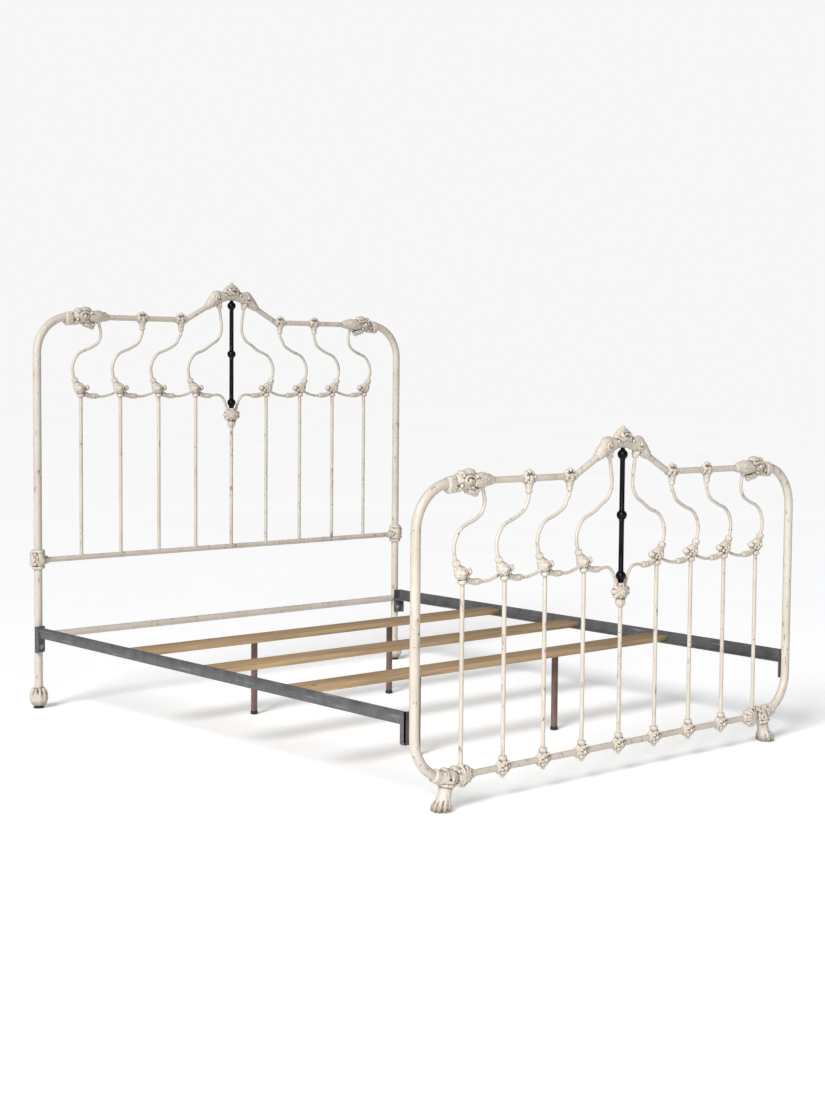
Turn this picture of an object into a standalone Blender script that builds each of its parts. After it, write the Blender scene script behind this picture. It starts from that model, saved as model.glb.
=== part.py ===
"""An open iron bed frame, queen size: a tall headboard, a lower footboard, angle side rails and slats.

X runs across the bed, Y from the footboard to the headboard, Z up. Every curved piece lies in the upright
plane of its board, so one planar sweep with a changing section makes posts, rods, castings and feet.
"""

import math

import bmesh
import bpy
from mathutils import Vector

# Driving dimensions, in metres
PITCH = 0.158  # between neighbouring spindles
LENGTH = 2.05  # between the two boards' planes
POST_X = 0.80
HEAD_TOP = 1.373  # centre of the headboard's top rail
FOOT_TOP = 0.907  # centre of the footboard's top rail
GAP = 0.0003  # between touching pieces

POST_R = 0.014
BEND_R = 0.13
RAIL_R = 0.0097
ROD_R = 0.00635  # of the straight spindles
BENT_R = 0.0052  # of the S rods above them
LINK_R = 0.0047
BLACK_ROD_R = 0.0078
KNOB_R = 0.0157
PEG_R = 0.004
BRANCH_SIDES = 8  # a rod and the seat it stands in have the same sides, so the gap stays even
ROSETTE_SIDES = 14

FOOT_REACH = 0.0325  # how far each foot stands out from its board's plane
CROSS_RAIL_Z = 0.52
BOTTOM_RAIL_Z = 0.09
STRETCHER_Z = 0.255
STRETCHER_R = 0.0125
LOWER_BEND_Z = 0.22
SADDLES = {2: 1.40, 3: 2.43}  # where rods 2 and 3 hang from the top rail, in pitches
CORNER_ROD = 3.56  # where rod 4 leaves the corner casting, in pitches

RAIL_LEG = 0.038
RAIL_WALL = 0.004
RAIL_BOTTOM = 0.252
BRACKET_X = 0.821
BRACKET_WIDTH = 0.036
BRACKET_DEPTH = 0.021
BRACKET_BOTTOM = 0.198
BRACKET_TOP = 0.290
BOLT_Z = 0.22
BOLT_R = 0.004
BOLT_HOLE_R = 0.0044
BOLT_SHANK = 0.018

SLAT_SIZE = (1.62, 0.09, 0.019)
SLAT_Y = {"foot": 0.585, "middle": 1.025, "head": 1.465}  # from the footboard's plane
LEG_X = 0.30
LEG_SIDE = 0.0165
LEG_CHAMFER = 0.0015

PAD_R = 0.019
PAD_TOP = 0.0057
STEM_R = 0.004
STEM_TOP = 0.034

SHARP_ANGLE = math.radians(50)  # edges sharper than this stay sharp in the shading

FOOT_Y = -LENGTH / 2
HEAD_Y = LENGTH / 2
SIDES = {"left": -1, "right": 1}

for leftover in list(bpy.data.objects):
    bpy.data.objects.remove(leftover)

PAINTS = {
    "cream_paint": ((0.72, 0.66, 0.56, 1), 0.0, 0.6),
    "cream_casting": ((0.62, 0.54, 0.46, 1), 0.0, 0.8),
    "black_gloss": ((0.008, 0.008, 0.01, 1), 0.0, 0.15),
    "grey_steel": ((0.12, 0.12, 0.13, 1), 0.8, 0.45),
    "zinc_steel": ((0.45, 0.45, 0.46, 1), 0.9, 0.35),
    "brown_leg": ((0.12, 0.07, 0.05, 1), 0.0, 0.5),
    "slat_wood": ((0.55, 0.38, 0.22, 1), 0.0, 0.6),
    "glide_plastic": ((0.03, 0.03, 0.03, 1), 0.0, 0.5),
}


def material(name, owner):
    """The piece's own Principled material, named after its finish and the piece."""
    color, metallic, roughness = PAINTS[name]
    made = bpy.data.materials.new(f"{name}.{owner}")
    made.use_nodes = True
    shader = made.node_tree.nodes["Principled BSDF"]
    shader.inputs["Base Color"].default_value = color
    shader.inputs["Metallic"].default_value = metallic
    shader.inputs["Roughness"].default_value = roughness
    return made


def finished(name, made, origin):
    """Turns a bmesh into an object whose origin is the point given."""
    bmesh.ops.recalc_face_normals(made, faces=made.faces)
    bmesh.ops.translate(made, verts=made.verts, vec=-Vector(origin))
    mesh = bpy.data.meshes.new(name)
    made.to_mesh(mesh)
    made.free()
    body = bpy.data.objects.new(name, mesh)
    body.location = origin
    bpy.context.scene.collection.objects.link(body)
    return body


def curve_through(stations, steps):
    """A smooth curve through the stations, with that many steps between each two. A station is any tuple."""
    made = []
    last = len(stations) - 1
    for index in range(last):
        before = stations[max(index - 1, 0)]
        start = stations[index]
        end = stations[index + 1]
        after = stations[min(index + 2, last)]
        for step in range(steps):
            t = step / steps
            weights = (
                -0.5 * t + t * t - 0.5 * t**3,
                1 - 2.5 * t * t + 1.5 * t**3,
                0.5 * t + 2 * t * t - 1.5 * t**3,
                -0.5 * t * t + 0.5 * t**3,
            )
            corners = zip(before, start, end, after)
            made.append(tuple(sum(w * v for w, v in zip(weights, corner)) for corner in corners))
    made.append(stations[last])
    return made


def arc(centre, radius, start, end, steps):
    """Points (x, z) on an arc in a board's plane, angles in degrees from +X towards +Z."""
    made = []
    for step in range(steps + 1):
        angle = math.radians(start + (end - start) * step / steps)
        made.append((centre[0] + radius * math.cos(angle), centre[1] + radius * math.sin(angle)))
    return made


def sweep(name, y, stations, sides=12):
    """A closed body along stations (x, z, half width in the plane, half depth in Y). Depth defaults to width."""
    stations = [(*s, s[2]) if len(s) == 3 else s for s in stations]
    centres = [Vector((s[0], y, s[1])) for s in stations]
    made = bmesh.new()
    rings = []
    for index, (_, _, width, depth) in enumerate(stations):
        ahead = centres[min(index + 1, len(centres) - 1)]
        behind = centres[max(index - 1, 0)]
        along = (ahead - behind).normalized()
        across = along.cross(Vector((0, 1, 0)))
        ring = []
        for side in range(sides):
            angle = math.tau * side / sides
            offset = across * (width * math.cos(angle)) + Vector((0, depth * math.sin(angle), 0))
            ring.append(made.verts.new(centres[index] + offset))
        rings.append(ring)
    for low, high in zip(rings, rings[1:]):
        for side in range(sides):
            after = (side + 1) % sides
            made.faces.new((low[side], low[after], high[after], high[side]))
    made.faces.new(rings[0])
    made.faces.new(rings[-1])
    return finished(name, made, centres[0])


def block(name, low, high, chamfer=0.0):
    """A box between two corners, with its upright edges chamfered if asked."""
    made = bmesh.new()
    bmesh.ops.create_cube(made, size=1)
    size = Vector(high) - Vector(low)
    centre = (Vector(high) + Vector(low)) / 2
    for vert in made.verts:
        vert.co = Vector((vert.co.x * size.x, vert.co.y * size.y, vert.co.z * size.z)) + centre
    if chamfer:
        upright = [edge for edge in made.edges if abs(edge.verts[0].co.z - edge.verts[1].co.z) > size.z / 2]
        bmesh.ops.bevel(made, geom=upright, offset=chamfer, segments=1, affect="EDGES")
    return finished(name, made, centre)


def rod_along_y(name, x, z, y_from, y_to, radius, sides=12):
    """A straight round rod, or a hexagon with six sides, between two values of Y."""
    made = bmesh.new()
    rings = []
    for y in (y_from, y_to):
        angles = [math.tau * side / sides for side in range(sides)]
        rings.append([made.verts.new((x + radius * math.cos(a), y, z + radius * math.sin(a))) for a in angles])
    for side in range(sides):
        after = (side + 1) % sides
        made.faces.new((rings[0][side], rings[0][after], rings[1][after], rings[1][side]))
    made.faces.new(rings[0])
    made.faces.new(rings[1])
    return finished(name, made, (x, y_from, z))


def combine(body, other, operation):
    """Applies one exact Boolean to the body and removes the other object."""
    modifier = body.modifiers.new(operation, "BOOLEAN")
    modifier.operation = operation
    modifier.solver = "EXACT"
    modifier.object = other
    graph = bpy.context.evaluated_depsgraph_get()
    mesh = bpy.data.meshes.new_from_object(body.evaluated_get(graph))
    body.modifiers.clear()
    body.data = mesh
    bpy.data.objects.remove(other)
    return body


def join(body, other):
    return combine(body, other, "UNION")


def carve(body, cutter):
    return combine(body, cutter, "DIFFERENCE")


def paint(body, finish):
    body.data.shade_smooth()
    body.data.set_sharp_from_angle(angle=SHARP_ANGLE)
    body.data.materials.clear()
    body.data.materials.append(material(finish, body.name))
    return body


def grown(stations, by=GAP):
    """The same stations with a section larger all round, to cut a seat for the piece."""
    return [(s[0], s[1], *(value + by for value in s[2:])) for s in stations]


# Paths that more than one piece needs. side is -1 or 1, top the height of the board's top rail.


def post_stations(side, top, board):
    centre_x = POST_X - BEND_R
    upper = [(0.655, top)] + arc((centre_x, top - BEND_R), BEND_R, 90, 0, 7)
    if board == "footboard":
        lower = arc((centre_x, LOWER_BEND_Z), BEND_R, 0, -62, 6)
        path = [(*point, POST_R) for point in upper + lower]
    else:
        path = [(*point, POST_R) for point in upper]
        path += [(POST_X, z, radius) for z, radius in HEAD_POST_TURNING]
    return [(side * x, z, radius) for x, z, radius in path]


HEAD_POST_TURNING = (
    (0.560, POST_R),
    (0.5565, 0.019),
    (0.547, 0.0262),
    (0.532, 0.0285),
    (0.515, 0.0285),
    (0.501, 0.0255),
    (0.492, 0.019),
    (0.4885, POST_R),
    (0.090, POST_R),
    (0.084, 0.0185),
    (0.078, 0.0185),
    (0.073, 0.0150),
    (0.066, 0.0165),
    (0.060, 0.0245),
    (0.050, 0.0305),
    (0.038, FOOT_REACH),
    (0.026, 0.0305),
    (0.015, 0.0250),
    (0.006, 0.0170),
)


def top_rail_stations(side, top):
    straight = [(0.550, 0), (0.262, 0)]
    bend = [(0.243, -0.002), (0.225, -0.0045), (0.207, -0.002), (0.190, 0.0065)]
    slope = [(0.107, 0.0525), (0.092, 0.0608)]
    return [(side * x, top + z, RAIL_R) for x, z in straight + bend + slope]


def rod_stations(side, number, top):
    """The upper, S-bent part of a branch from its top end down to the junction, in pitches beside spindle 0."""
    if number == 1:
        start = [(-0.660, 0.058), (-0.662, 0.044), (-0.690, 0.012), (-0.716, -0.018)]
        start += [(-0.695, -0.047), (-0.590, -0.073), (-0.430, -0.089)]
    elif number == 4:
        start = [(CORNER_ROD - 4, -0.020), (-0.475, -0.034), (-0.505, -0.055), (-0.480, -0.076)]
        start += [(-0.405, -0.094)]
    else:
        offset = SADDLES[number] - number
        start = [(offset, -0.036), (offset, -0.050), (-0.530, -0.070), (-0.450, -0.090)]
    end = [(-0.230, -0.110), (0.015, -0.126), (0.150, -0.151), (0.205, -0.180), (0.187, -0.204)]
    path = curve_through(start + end + [(0.163, -0.2160)], 2)
    return [(side * (number + x) * PITCH, top + z, BENT_R) for x, z in path]


def junction_stations(side, number, top):
    """The cast junction from its collar down to the socket of the straight spindle."""
    shape = [
        (0.159, -0.2180, 0.0085),
        (0.154, -0.2205, 0.0112),
        (0.140, -0.2280, 0.0112),
        (0.100, -0.2395, 0.0128),
        (0.052, -0.2530, 0.0140),
        (0.012, -0.2665, 0.0125),
        (0.000, -0.2760, 0.0122),
        (0.000, -0.2830, 0.0112),
        (0.000, -0.2838, ROD_R),
    ]
    return [(side * (number + x) * PITCH, top + z, radius) for x, z, radius in shape]


def link_stations(side, number, top):
    """The short cast link from the junction to the next one inwards, or to the rosette."""
    sleeve = [
        (-0.02, -0.2610, 0.0065),
        (-0.12, -0.2690, 0.0070),
        (-0.20, -0.2755, 0.0078),
        (-0.24, -0.2785, 0.0088),
        (-0.34, -0.2800, 0.0092),
        (-0.42, -0.2800, 0.0080),
    ]
    if number == 1:
        rest = [(-0.45, -0.2790), (-0.56, -0.2765), (-0.65, -0.2780), (-0.72, -0.2840)]
        rest += [(-0.78, -0.2955), (-0.825, -0.3110), (-0.855, -0.3250), (-0.870, -0.3380)]
    else:
        rest = [(-0.45, -0.2815), (-0.56, -0.2810), (-0.68, -0.2770), (-0.80, -0.2710), (-0.93, -0.2610)]
    shape = sleeve + [(x, z, LINK_R) for x, z in rest]
    return [(side * (number + x) * PITCH, top + z, radius) for x, z, radius in shape]


def rosette_stations(top, rod_end):
    """The cast rosette with the bud below it, and the rod that carries on down."""
    shape = [
        (-0.3265, 0.0090, 0.0070),
        (-0.3305, 0.0260, 0.0100),
        (-0.3400, 0.0360, 0.0120),
        (-0.3530, 0.0378, 0.0125),
        (-0.3640, 0.0335, 0.0118),
        (-0.3735, 0.0190, 0.0105),
        (-0.3775, 0.0150, 0.0100),
        (-0.3860, 0.0178, 0.0120),
        (-0.3940, 0.0140, 0.0110),
        (-0.4010, 0.0075, 0.0075),
        (-0.4016, ROD_R, ROD_R),
    ]
    body = [(0, top + z, width, depth) for z, width, depth in shape]
    return body + [(0, rod_end, ROD_R, ROD_R)]


# Pieces of the two boards


def make_post(board, y, top, side_name, side):
    name = f"{board}_post_{side_name}"
    post = sweep(name, y, post_stations(side, top, board))
    inner = -1 if board == "headboard" else 1
    reach = y + inner * (POST_R + 0.002)
    hole_end = y + inner * (POST_R - BOLT_SHANK)
    carve(post, rod_along_y("hole", side * POST_X, BOLT_Z, reach, hole_end, BOLT_HOLE_R))
    if board == "headboard":
        bore = [(side * POST_X, 0.004, STEM_R + GAP), (side * POST_X, STEM_TOP + 0.003, STEM_R + GAP)]
        carve(post, sweep("bore", y, bore))
    return paint(post, "cream_paint")


def make_top_rail(board, y, top, side_name, side):
    rail = sweep(f"{board}_top_rail_{side_name}", y, top_rail_stations(side, top), 14)
    return paint(rail, "cream_paint")


CORNER_LUMP = (
    (0.6900, -0.0020, 0.0190, 0.0185),
    (0.6750, -0.0005, 0.0235, 0.0200),
    (0.6550, 0.0020, 0.0280, 0.0215),
    (0.6350, 0.0040, 0.0355, 0.0225),
    (0.6050, 0.0045, 0.0370, 0.0225),
    (0.5850, 0.0015, 0.0350, 0.0215),
    (0.5720, 0.0000, 0.0270, 0.0200),
    (0.5500, 0.0000, 0.0260, 0.0190),
    (0.5350, 0.0000, 0.0200, 0.0165),
    (0.5230, 0.0000, 0.0150, 0.0140),
)


def make_corner_casting(board, y, top, side_name, side):
    shape = [(side * x, top + z, width, depth) for x, z, width, depth in CORNER_LUMP]
    casting = sweep(f"{board}_corner_casting_{side_name}", y, shape)
    carve(casting, sweep("seat", y, grown(post_stations(side, top, board)[:6])))
    carve(casting, sweep("seat", y, grown(top_rail_stations(side, top)[:2]), 14))
    carve(casting, sweep("seat", y, grown(rod_stations(side, 4, top)[:8]), BRANCH_SIDES))
    return paint(casting, "cream_casting")


CREST_OUTLINE = (
    (0.1013, 0.0400),
    (0.1130, 0.0630),
    (0.0980, 0.0850),
    (0.0860, 0.1000),
    (0.0700, 0.1110),
    (0.0540, 0.1145),
    (0.0400, 0.1130),
    (0.0300, 0.1230),
    (0.0160, 0.1320),
    (0.0090, 0.1370),
    (0.0060, 0.1450),
    (0.0, 0.1470),
)
CREST_UNDERSIDE = (
    (0.0, 0.0790),
    (0.0110, 0.0780),
    (0.0180, 0.0740),
    (0.0350, 0.0725),
    (0.0410, 0.0650),
    (0.0440, 0.0500),
    (0.0480, 0.0470),
    (0.0620, 0.0465),
    (0.0800, 0.0480),
)
CREST_DEPTH = 0.0165
CREST_BEVEL = 0.005


def make_crest(board, y, top):
    half = CREST_UNDERSIDE + CREST_OUTLINE
    mirrored = [(-x, z) for x, z in reversed(half) if x > 0]
    made = bmesh.new()
    outline = [made.verts.new((x, y - CREST_DEPTH, top + z)) for x, z in list(half) + mirrored]
    face = made.faces.new(outline)
    grown_out = bmesh.ops.extrude_face_region(made, geom=[face])["geom"]
    moved = [item for item in grown_out if isinstance(item, bmesh.types.BMVert)]
    bmesh.ops.translate(made, verts=moved, vec=(0, 2 * CREST_DEPTH, 0))
    rim = [e for e in made.edges if abs(e.verts[0].co.y - e.verts[1].co.y) < CREST_DEPTH]
    bmesh.ops.bevel(made, geom=rim, offset=CREST_BEVEL, segments=1, affect="EDGES")
    crest = finished(f"{board}_crest_casting", made, (0, y, top + 0.09))
    for side in SIDES.values():
        carve(crest, sweep("seat", y, grown(top_rail_stations(side, top)[-3:]), 14))
        carve(crest, sweep("seat", y, grown(rod_stations(side, 1, top)[:4]), BRANCH_SIDES))
    peg_seat = [(0, top + 0.07, PEG_R + GAP), (0, top + 0.088, PEG_R + GAP)]
    carve(crest, sweep("seat", y, peg_seat))
    return paint(crest, "cream_casting")


def knob_turning(middle, radius=KNOB_R):
    """Heights and radii of one round knob on the black rod, from the top down."""
    made = []
    for degrees in (60, 35, 12, -12, -35, -60):
        angle = math.radians(degrees)
        made.append((middle + radius * math.sin(angle), radius * math.cos(angle)))
    return made


def make_black_spindle(board, y, top):
    turning = [(0.0850, PEG_R), (0.0785, PEG_R), (0.0775, 0.0060)]
    turning += knob_turning(0.058)
    turning += [(0.041, BLACK_ROD_R), (-0.107, BLACK_ROD_R)]
    turning += knob_turning(-0.124)
    turning += [(-0.141, BLACK_ROD_R), (-0.290, BLACK_ROD_R)]
    turning += knob_turning(-0.307)
    turning += [(-0.322, 0.0095), (-0.3262, 0.0088), (-0.3264, PEG_R), (-0.3350, PEG_R)]
    rod = sweep(f"{board}_black_spindle", y, [(0, top + z, radius) for z, radius in turning], 12)
    return paint(rod, "black_gloss")


def make_rosette_spindle(board, y, top, rod_end):
    stations = rosette_stations(top, rod_end)
    rod = sweep(f"{board}_rosette_spindle", y, stations, ROSETTE_SIDES)
    peg_seat = [(0, top - 0.320, PEG_R + GAP), (0, top - 0.338, PEG_R + GAP)]
    carve(rod, sweep("seat", y, peg_seat))
    if board == "headboard":
        carve(rod, cross_rail_cutter(y))
    return paint(rod, "cream_paint")


def saddle_stations(side, number, top):
    shape = [
        (0.0205, 0.0110, 0.0090),
        (0.0165, 0.0200, 0.0130),
        (0.0040, 0.0225, 0.0145),
        (-0.0070, 0.0205, 0.0145),
        (-0.0150, 0.0135, 0.0130),
        (-0.0290, 0.0100, 0.0100),
        (-0.0400, 0.0092, 0.0092),
        (-0.0406, BENT_R, BENT_R),
    ]
    x = side * SADDLES[number] * PITCH
    return [(x, top + z, width, depth) for z, width, depth in shape]


def cross_rail_cutter(y):
    ends = [(-1, CROSS_RAIL_Z, RAIL_R + GAP), (1, CROSS_RAIL_Z, RAIL_R + GAP)]
    return sweep("cutter", y, ends, 14)


def make_branch(board, y, top, rod_end, side_name, side, number):
    """One S rod with its saddle, junction, straight spindle and link, cast and welded into one piece."""
    name = f"{board}_branch_spindle_{side_name}_{number}"
    stations = rod_stations(side, number, top)
    if number in SADDLES:
        stations = saddle_stations(side, number, top) + [(*s, BENT_R) for s in stations[1:]]
    else:
        stations = [(*s, BENT_R) for s in stations]
    stations += [(*s, s[2]) for s in junction_stations(side, number, top)]
    spindle_x = side * number * PITCH
    branch = sweep(name, y, stations + [(spindle_x, rod_end, ROD_R, ROD_R)], BRANCH_SIDES)
    curl = [
        (0.060, -0.2580, 0.0080),
        (-0.060, -0.2560, 0.0095),
        (-0.120, -0.2540, 0.0100),
        (-0.170, -0.2525, 0.0090),
        (-0.200, -0.2515, 0.0055),
    ]
    curl = [(side * (number + x) * PITCH, top + z, radius) for x, z, radius in curl]
    join(branch, sweep("curl", y, curl, 6))
    link = sweep("link", y, link_stations(side, number, top), 6)
    if number == 1:
        carve(link, sweep("cutter", y, grown(rosette_stations(top, top - 0.42)), ROSETTE_SIDES))
    else:
        neighbour = junction_stations(side, number - 1, top)[1:]
        carve(link, sweep("cutter", y, grown(neighbour), BRANCH_SIDES))
    join(branch, link)
    if number in SADDLES:
        carve(branch, sweep("cutter", y, grown(top_rail_stations(side, top)), 14))
    if board == "headboard":
        carve(branch, cross_rail_cutter(y))
    return paint(branch, "cream_paint")


# Pieces of one board only


def make_headboard_rails(y):
    rail = [(x, CROSS_RAIL_Z, RAIL_R) for x in (-POST_X, POST_X)]
    cross_rail = sweep("headboard_cross_rail", y, rail, 14)
    for side in SIDES.values():
        carve(cross_rail, sweep("cutter", y, grown(post_stations(side, HEAD_TOP, "headboard"))))
    keep_middle(cross_rail)
    paint(cross_rail, "cream_paint")
    tube = [(x, STRETCHER_Z, STRETCHER_R) for x in (-POST_X, POST_X)]
    stretcher = sweep("headboard_bottom_stretcher", y, tube, 14)
    for side in SIDES.values():
        carve(stretcher, sweep("cutter", y, grown(post_stations(side, HEAD_TOP, "headboard"))))
    keep_middle(stretcher)
    paint(stretcher, "cream_paint")


def keep_middle(body):
    """Deletes the slivers that a cut through both ends leaves beyond the posts."""
    made = bmesh.new()
    made.from_mesh(body.data)
    beyond = [v for v in made.verts if abs((body.matrix_world @ v.co).x) > POST_X]
    bmesh.ops.delete(made, geom=beyond, context="VERTS")
    made.to_mesh(body.data)
    made.free()


def make_glides(y):
    for side_name, side in SIDES.items():
        x = side * POST_X
        pad = [(x, 0, PAD_R - 0.0015), (x, 0.0015, PAD_R), (x, 0.004, PAD_R - 0.001), (x, PAD_TOP, PAD_R - 0.006)]
        pad = sweep(f"headboard_glide_pad_{side_name}", y, pad, 16)
        carve(pad, sweep("seat", y, [(x, 0.002, STEM_R + GAP), (x, 0.010, STEM_R + GAP)]))
        paint(pad, "glide_plastic")
        stem = [(x, 0.0025, STEM_R), (x, STEM_TOP, STEM_R)]
        paint(sweep(f"headboard_glide_stem_{side_name}", y, stem, 10), "zinc_steel")


def tee_stations(x):
    shape = (
        (0.0640, 0.0085, 0.0080),
        (0.0690, 0.0170, 0.0140),
        (0.0800, 0.0200, 0.0160),
        (0.0940, 0.0200, 0.0160),
        (0.1040, 0.0165, 0.0140),
        (0.1130, 0.0125, 0.0122),
        (0.1200, 0.0116, 0.0116),
    )
    return [(x, z, width, depth) for z, width, depth in shape]


def make_footboard_bottom_rail(y):
    path = [(x, BOTTOM_RAIL_Z, RAIL_R) for x in (-0.612, 0.612)]
    rail = sweep("footboard_bottom_rail", y, path, 14)
    for number in range(-3, 4):
        x = number * PITCH
        join(rail, sweep("tee", y, tee_stations(x), 8))
        seat = [(x, 0.103, ROD_R + GAP), (x, 0.125, ROD_R + GAP)]
        carve(rail, sweep("seat", y, seat, BRANCH_SIDES if number else ROSETTE_SIDES))
    return paint(rail, "cream_casting")


FOOT_LUMP = (
    (0.5880, 0.0900, 0.0140, 0.0135),
    (0.6000, 0.0895, 0.0185, 0.0160),
    (0.6150, 0.0885, 0.0270, 0.0185),
    (0.6350, 0.0885, 0.0300, 0.0200),
    (0.6600, 0.0880, 0.0300, 0.0205),
    (0.6850, 0.0890, 0.0290, 0.0205),
    (0.7050, 0.0940, 0.0240, 0.0195),
    (0.7270, 0.1030, 0.0190, 0.0185),
)
CLAW = (
    (0.688, 0.0850, 0.0180, 0.0165),
    (0.688, 0.0600, 0.0178, 0.0165),
    (0.688, 0.0480, 0.0165, 0.0165),
    (0.689, 0.0380, 0.0180, 0.0190),
    (0.694, 0.0290, 0.0270, 0.0265),
    (0.700, 0.0200, 0.0315, 0.0310),
    (0.703, 0.0080, 0.0330, FOOT_REACH),
    (0.703, 0.0000, 0.0315, 0.0310),
)


def make_foot_casting(y, side_name, side):
    lump = [(side * x, z, width, depth) for x, z, width, depth in FOOT_LUMP]
    casting = sweep(f"footboard_foot_casting_{side_name}", y, lump)
    claw = [(side * x, z, width, depth) for x, z, width, depth in CLAW]
    join(casting, sweep("claw", y, claw))
    level_base(casting)
    carve(casting, sweep("seat", y, grown(post_stations(side, FOOT_TOP, "footboard")[-5:])))
    rail = [(side * x, BOTTOM_RAIL_Z, RAIL_R + GAP) for x in (0.580, 0.613)]
    carve(casting, sweep("seat", y, rail, 14))
    spindle = [(side * 4 * PITCH, z, ROD_R + GAP) for z in (0.104, 0.130)]
    carve(casting, sweep("seat", y, spindle, BRANCH_SIDES))
    return paint(casting, "cream_casting")


def level_base(body):
    """Puts the foot's lowest ring exactly on the floor."""
    for vert in body.data.vertices:
        world = body.matrix_world @ vert.co
        if world.z < 0.004:
            vert.co.z -= world.z


# Side rails, brackets, bolts, slats and legs


def end_of_rail(board):
    """(Y of the post's face towards the bed's middle, direction from it to the middle)."""
    if board == "head":
        return HEAD_Y - POST_R - GAP, -1
    return FOOT_Y + POST_R + GAP, 1


def ordered_block(name, corner, other, chamfer=0.0):
    low = [min(a, b) for a, b in zip(corner, other)]
    high = [max(a, b) for a, b in zip(corner, other)]
    return block(name, low, high, chamfer)


def make_bracket(board, side_name, side):
    face, inwards = end_of_rail(board)
    outer = side * BRACKET_X
    plate_end = face + inwards * RAIL_WALL
    name = f"rail_bracket_{board}_{side_name}"
    corner = (outer, face, BRACKET_BOTTOM)
    bracket = ordered_block(name, corner, (outer - side * BRACKET_WIDTH, plate_end, BRACKET_TOP))
    leg = (outer - side * RAIL_WALL, face + inwards * BRACKET_DEPTH, BRACKET_TOP)
    join(bracket, ordered_block("leg", (outer, face + inwards * 0.001, BRACKET_BOTTOM), leg))
    hole = rod_along_y("hole", side * POST_X, BOLT_Z, face - inwards * 0.01, face + inwards * 0.01, BOLT_HOLE_R)
    carve(bracket, hole)
    return paint(bracket, "grey_steel")


def make_bolt(board, side_name, side):
    face, inwards = end_of_rail(board)
    seat = face + inwards * (RAIL_WALL + GAP)
    x = side * POST_X
    name = f"bracket_bolt_{board}_{side_name}"
    head = rod_along_y(name, x, BOLT_Z, seat, seat + inwards * 0.0053, 0.0075, 6)
    shank_end = face - inwards * (BOLT_SHANK - 0.003)
    join(head, rod_along_y("shank", x, BOLT_Z, seat + inwards * 0.002, shank_end, BOLT_R, 10))
    return paint(head, "zinc_steel")


def make_side_rail(side_name, side):
    outer = side * (BRACKET_X - RAIL_WALL - GAP)
    low_y = end_of_rail("foot")[0] + RAIL_WALL + GAP
    high_y = end_of_rail("head")[0] - RAIL_WALL - GAP
    upright = (outer - side * RAIL_WALL, high_y, RAIL_BOTTOM + RAIL_LEG)
    rail = ordered_block(f"side_rail_{side_name}", (outer, low_y, RAIL_BOTTOM), upright)
    shelf = (outer - side * RAIL_LEG, high_y, RAIL_BOTTOM + RAIL_WALL)
    join(rail, ordered_block("shelf", (outer, low_y, RAIL_BOTTOM), shelf))
    return paint(rail, "grey_steel")


def make_slats():
    width, depth, thickness = SLAT_SIZE
    bottom = RAIL_BOTTOM + RAIL_WALL + GAP
    for place, from_foot in SLAT_Y.items():
        y = FOOT_Y + from_foot
        low = (-width / 2, y - depth / 2, bottom)
        paint(block(f"slat_{place}", low, (width / 2, y + depth / 2, bottom + thickness)), "slat_wood")
        if place == "middle":
            continue
        for side_name, side in SIDES.items():
            x = side * LEG_X
            low = (x - LEG_SIDE / 2, y - LEG_SIDE / 2, 0)
            high = (x + LEG_SIDE / 2, y + LEG_SIDE / 2, bottom - GAP)
            paint(block(f"slat_leg_{place}_{side_name}", low, high, LEG_CHAMFER), "brown_leg")


def make_board(board, y, top, rod_end):
    for side_name, side in SIDES.items():
        make_post(board, y, top, side_name, side)
        make_top_rail(board, y, top, side_name, side)
        make_corner_casting(board, y, top, side_name, side)
        for number in range(1, 5):
            make_branch(board, y, top, rod_end, side_name, side, number)
    make_crest(board, y, top)
    make_black_spindle(board, y, top)
    make_rosette_spindle(board, y, top, rod_end)


make_board("headboard", HEAD_Y, HEAD_TOP, CROSS_RAIL_Z)
make_headboard_rails(HEAD_Y)
make_glides(HEAD_Y)
make_board("footboard", FOOT_Y, FOOT_TOP, 0.1045)
make_footboard_bottom_rail(FOOT_Y)
for this_side, sign in SIDES.items():
    make_foot_casting(FOOT_Y, this_side, sign)
    make_side_rail(this_side, sign)
    for end in ("head", "foot"):
        make_bracket(end, this_side, sign)
        make_bolt(end, this_side, sign)
make_slats()
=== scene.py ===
"""The visual model of an iron bed frame with cream castings, black centre rods and grey side rails.

Both boards use the same castings, so each casting is modelled once, on the +X side of a board
whose top rail lies at height 0, and then copied and mirrored into its places.
"""

import math

import bmesh
import bpy
import numpy as np
from mathutils import Matrix, Vector, noise


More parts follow.
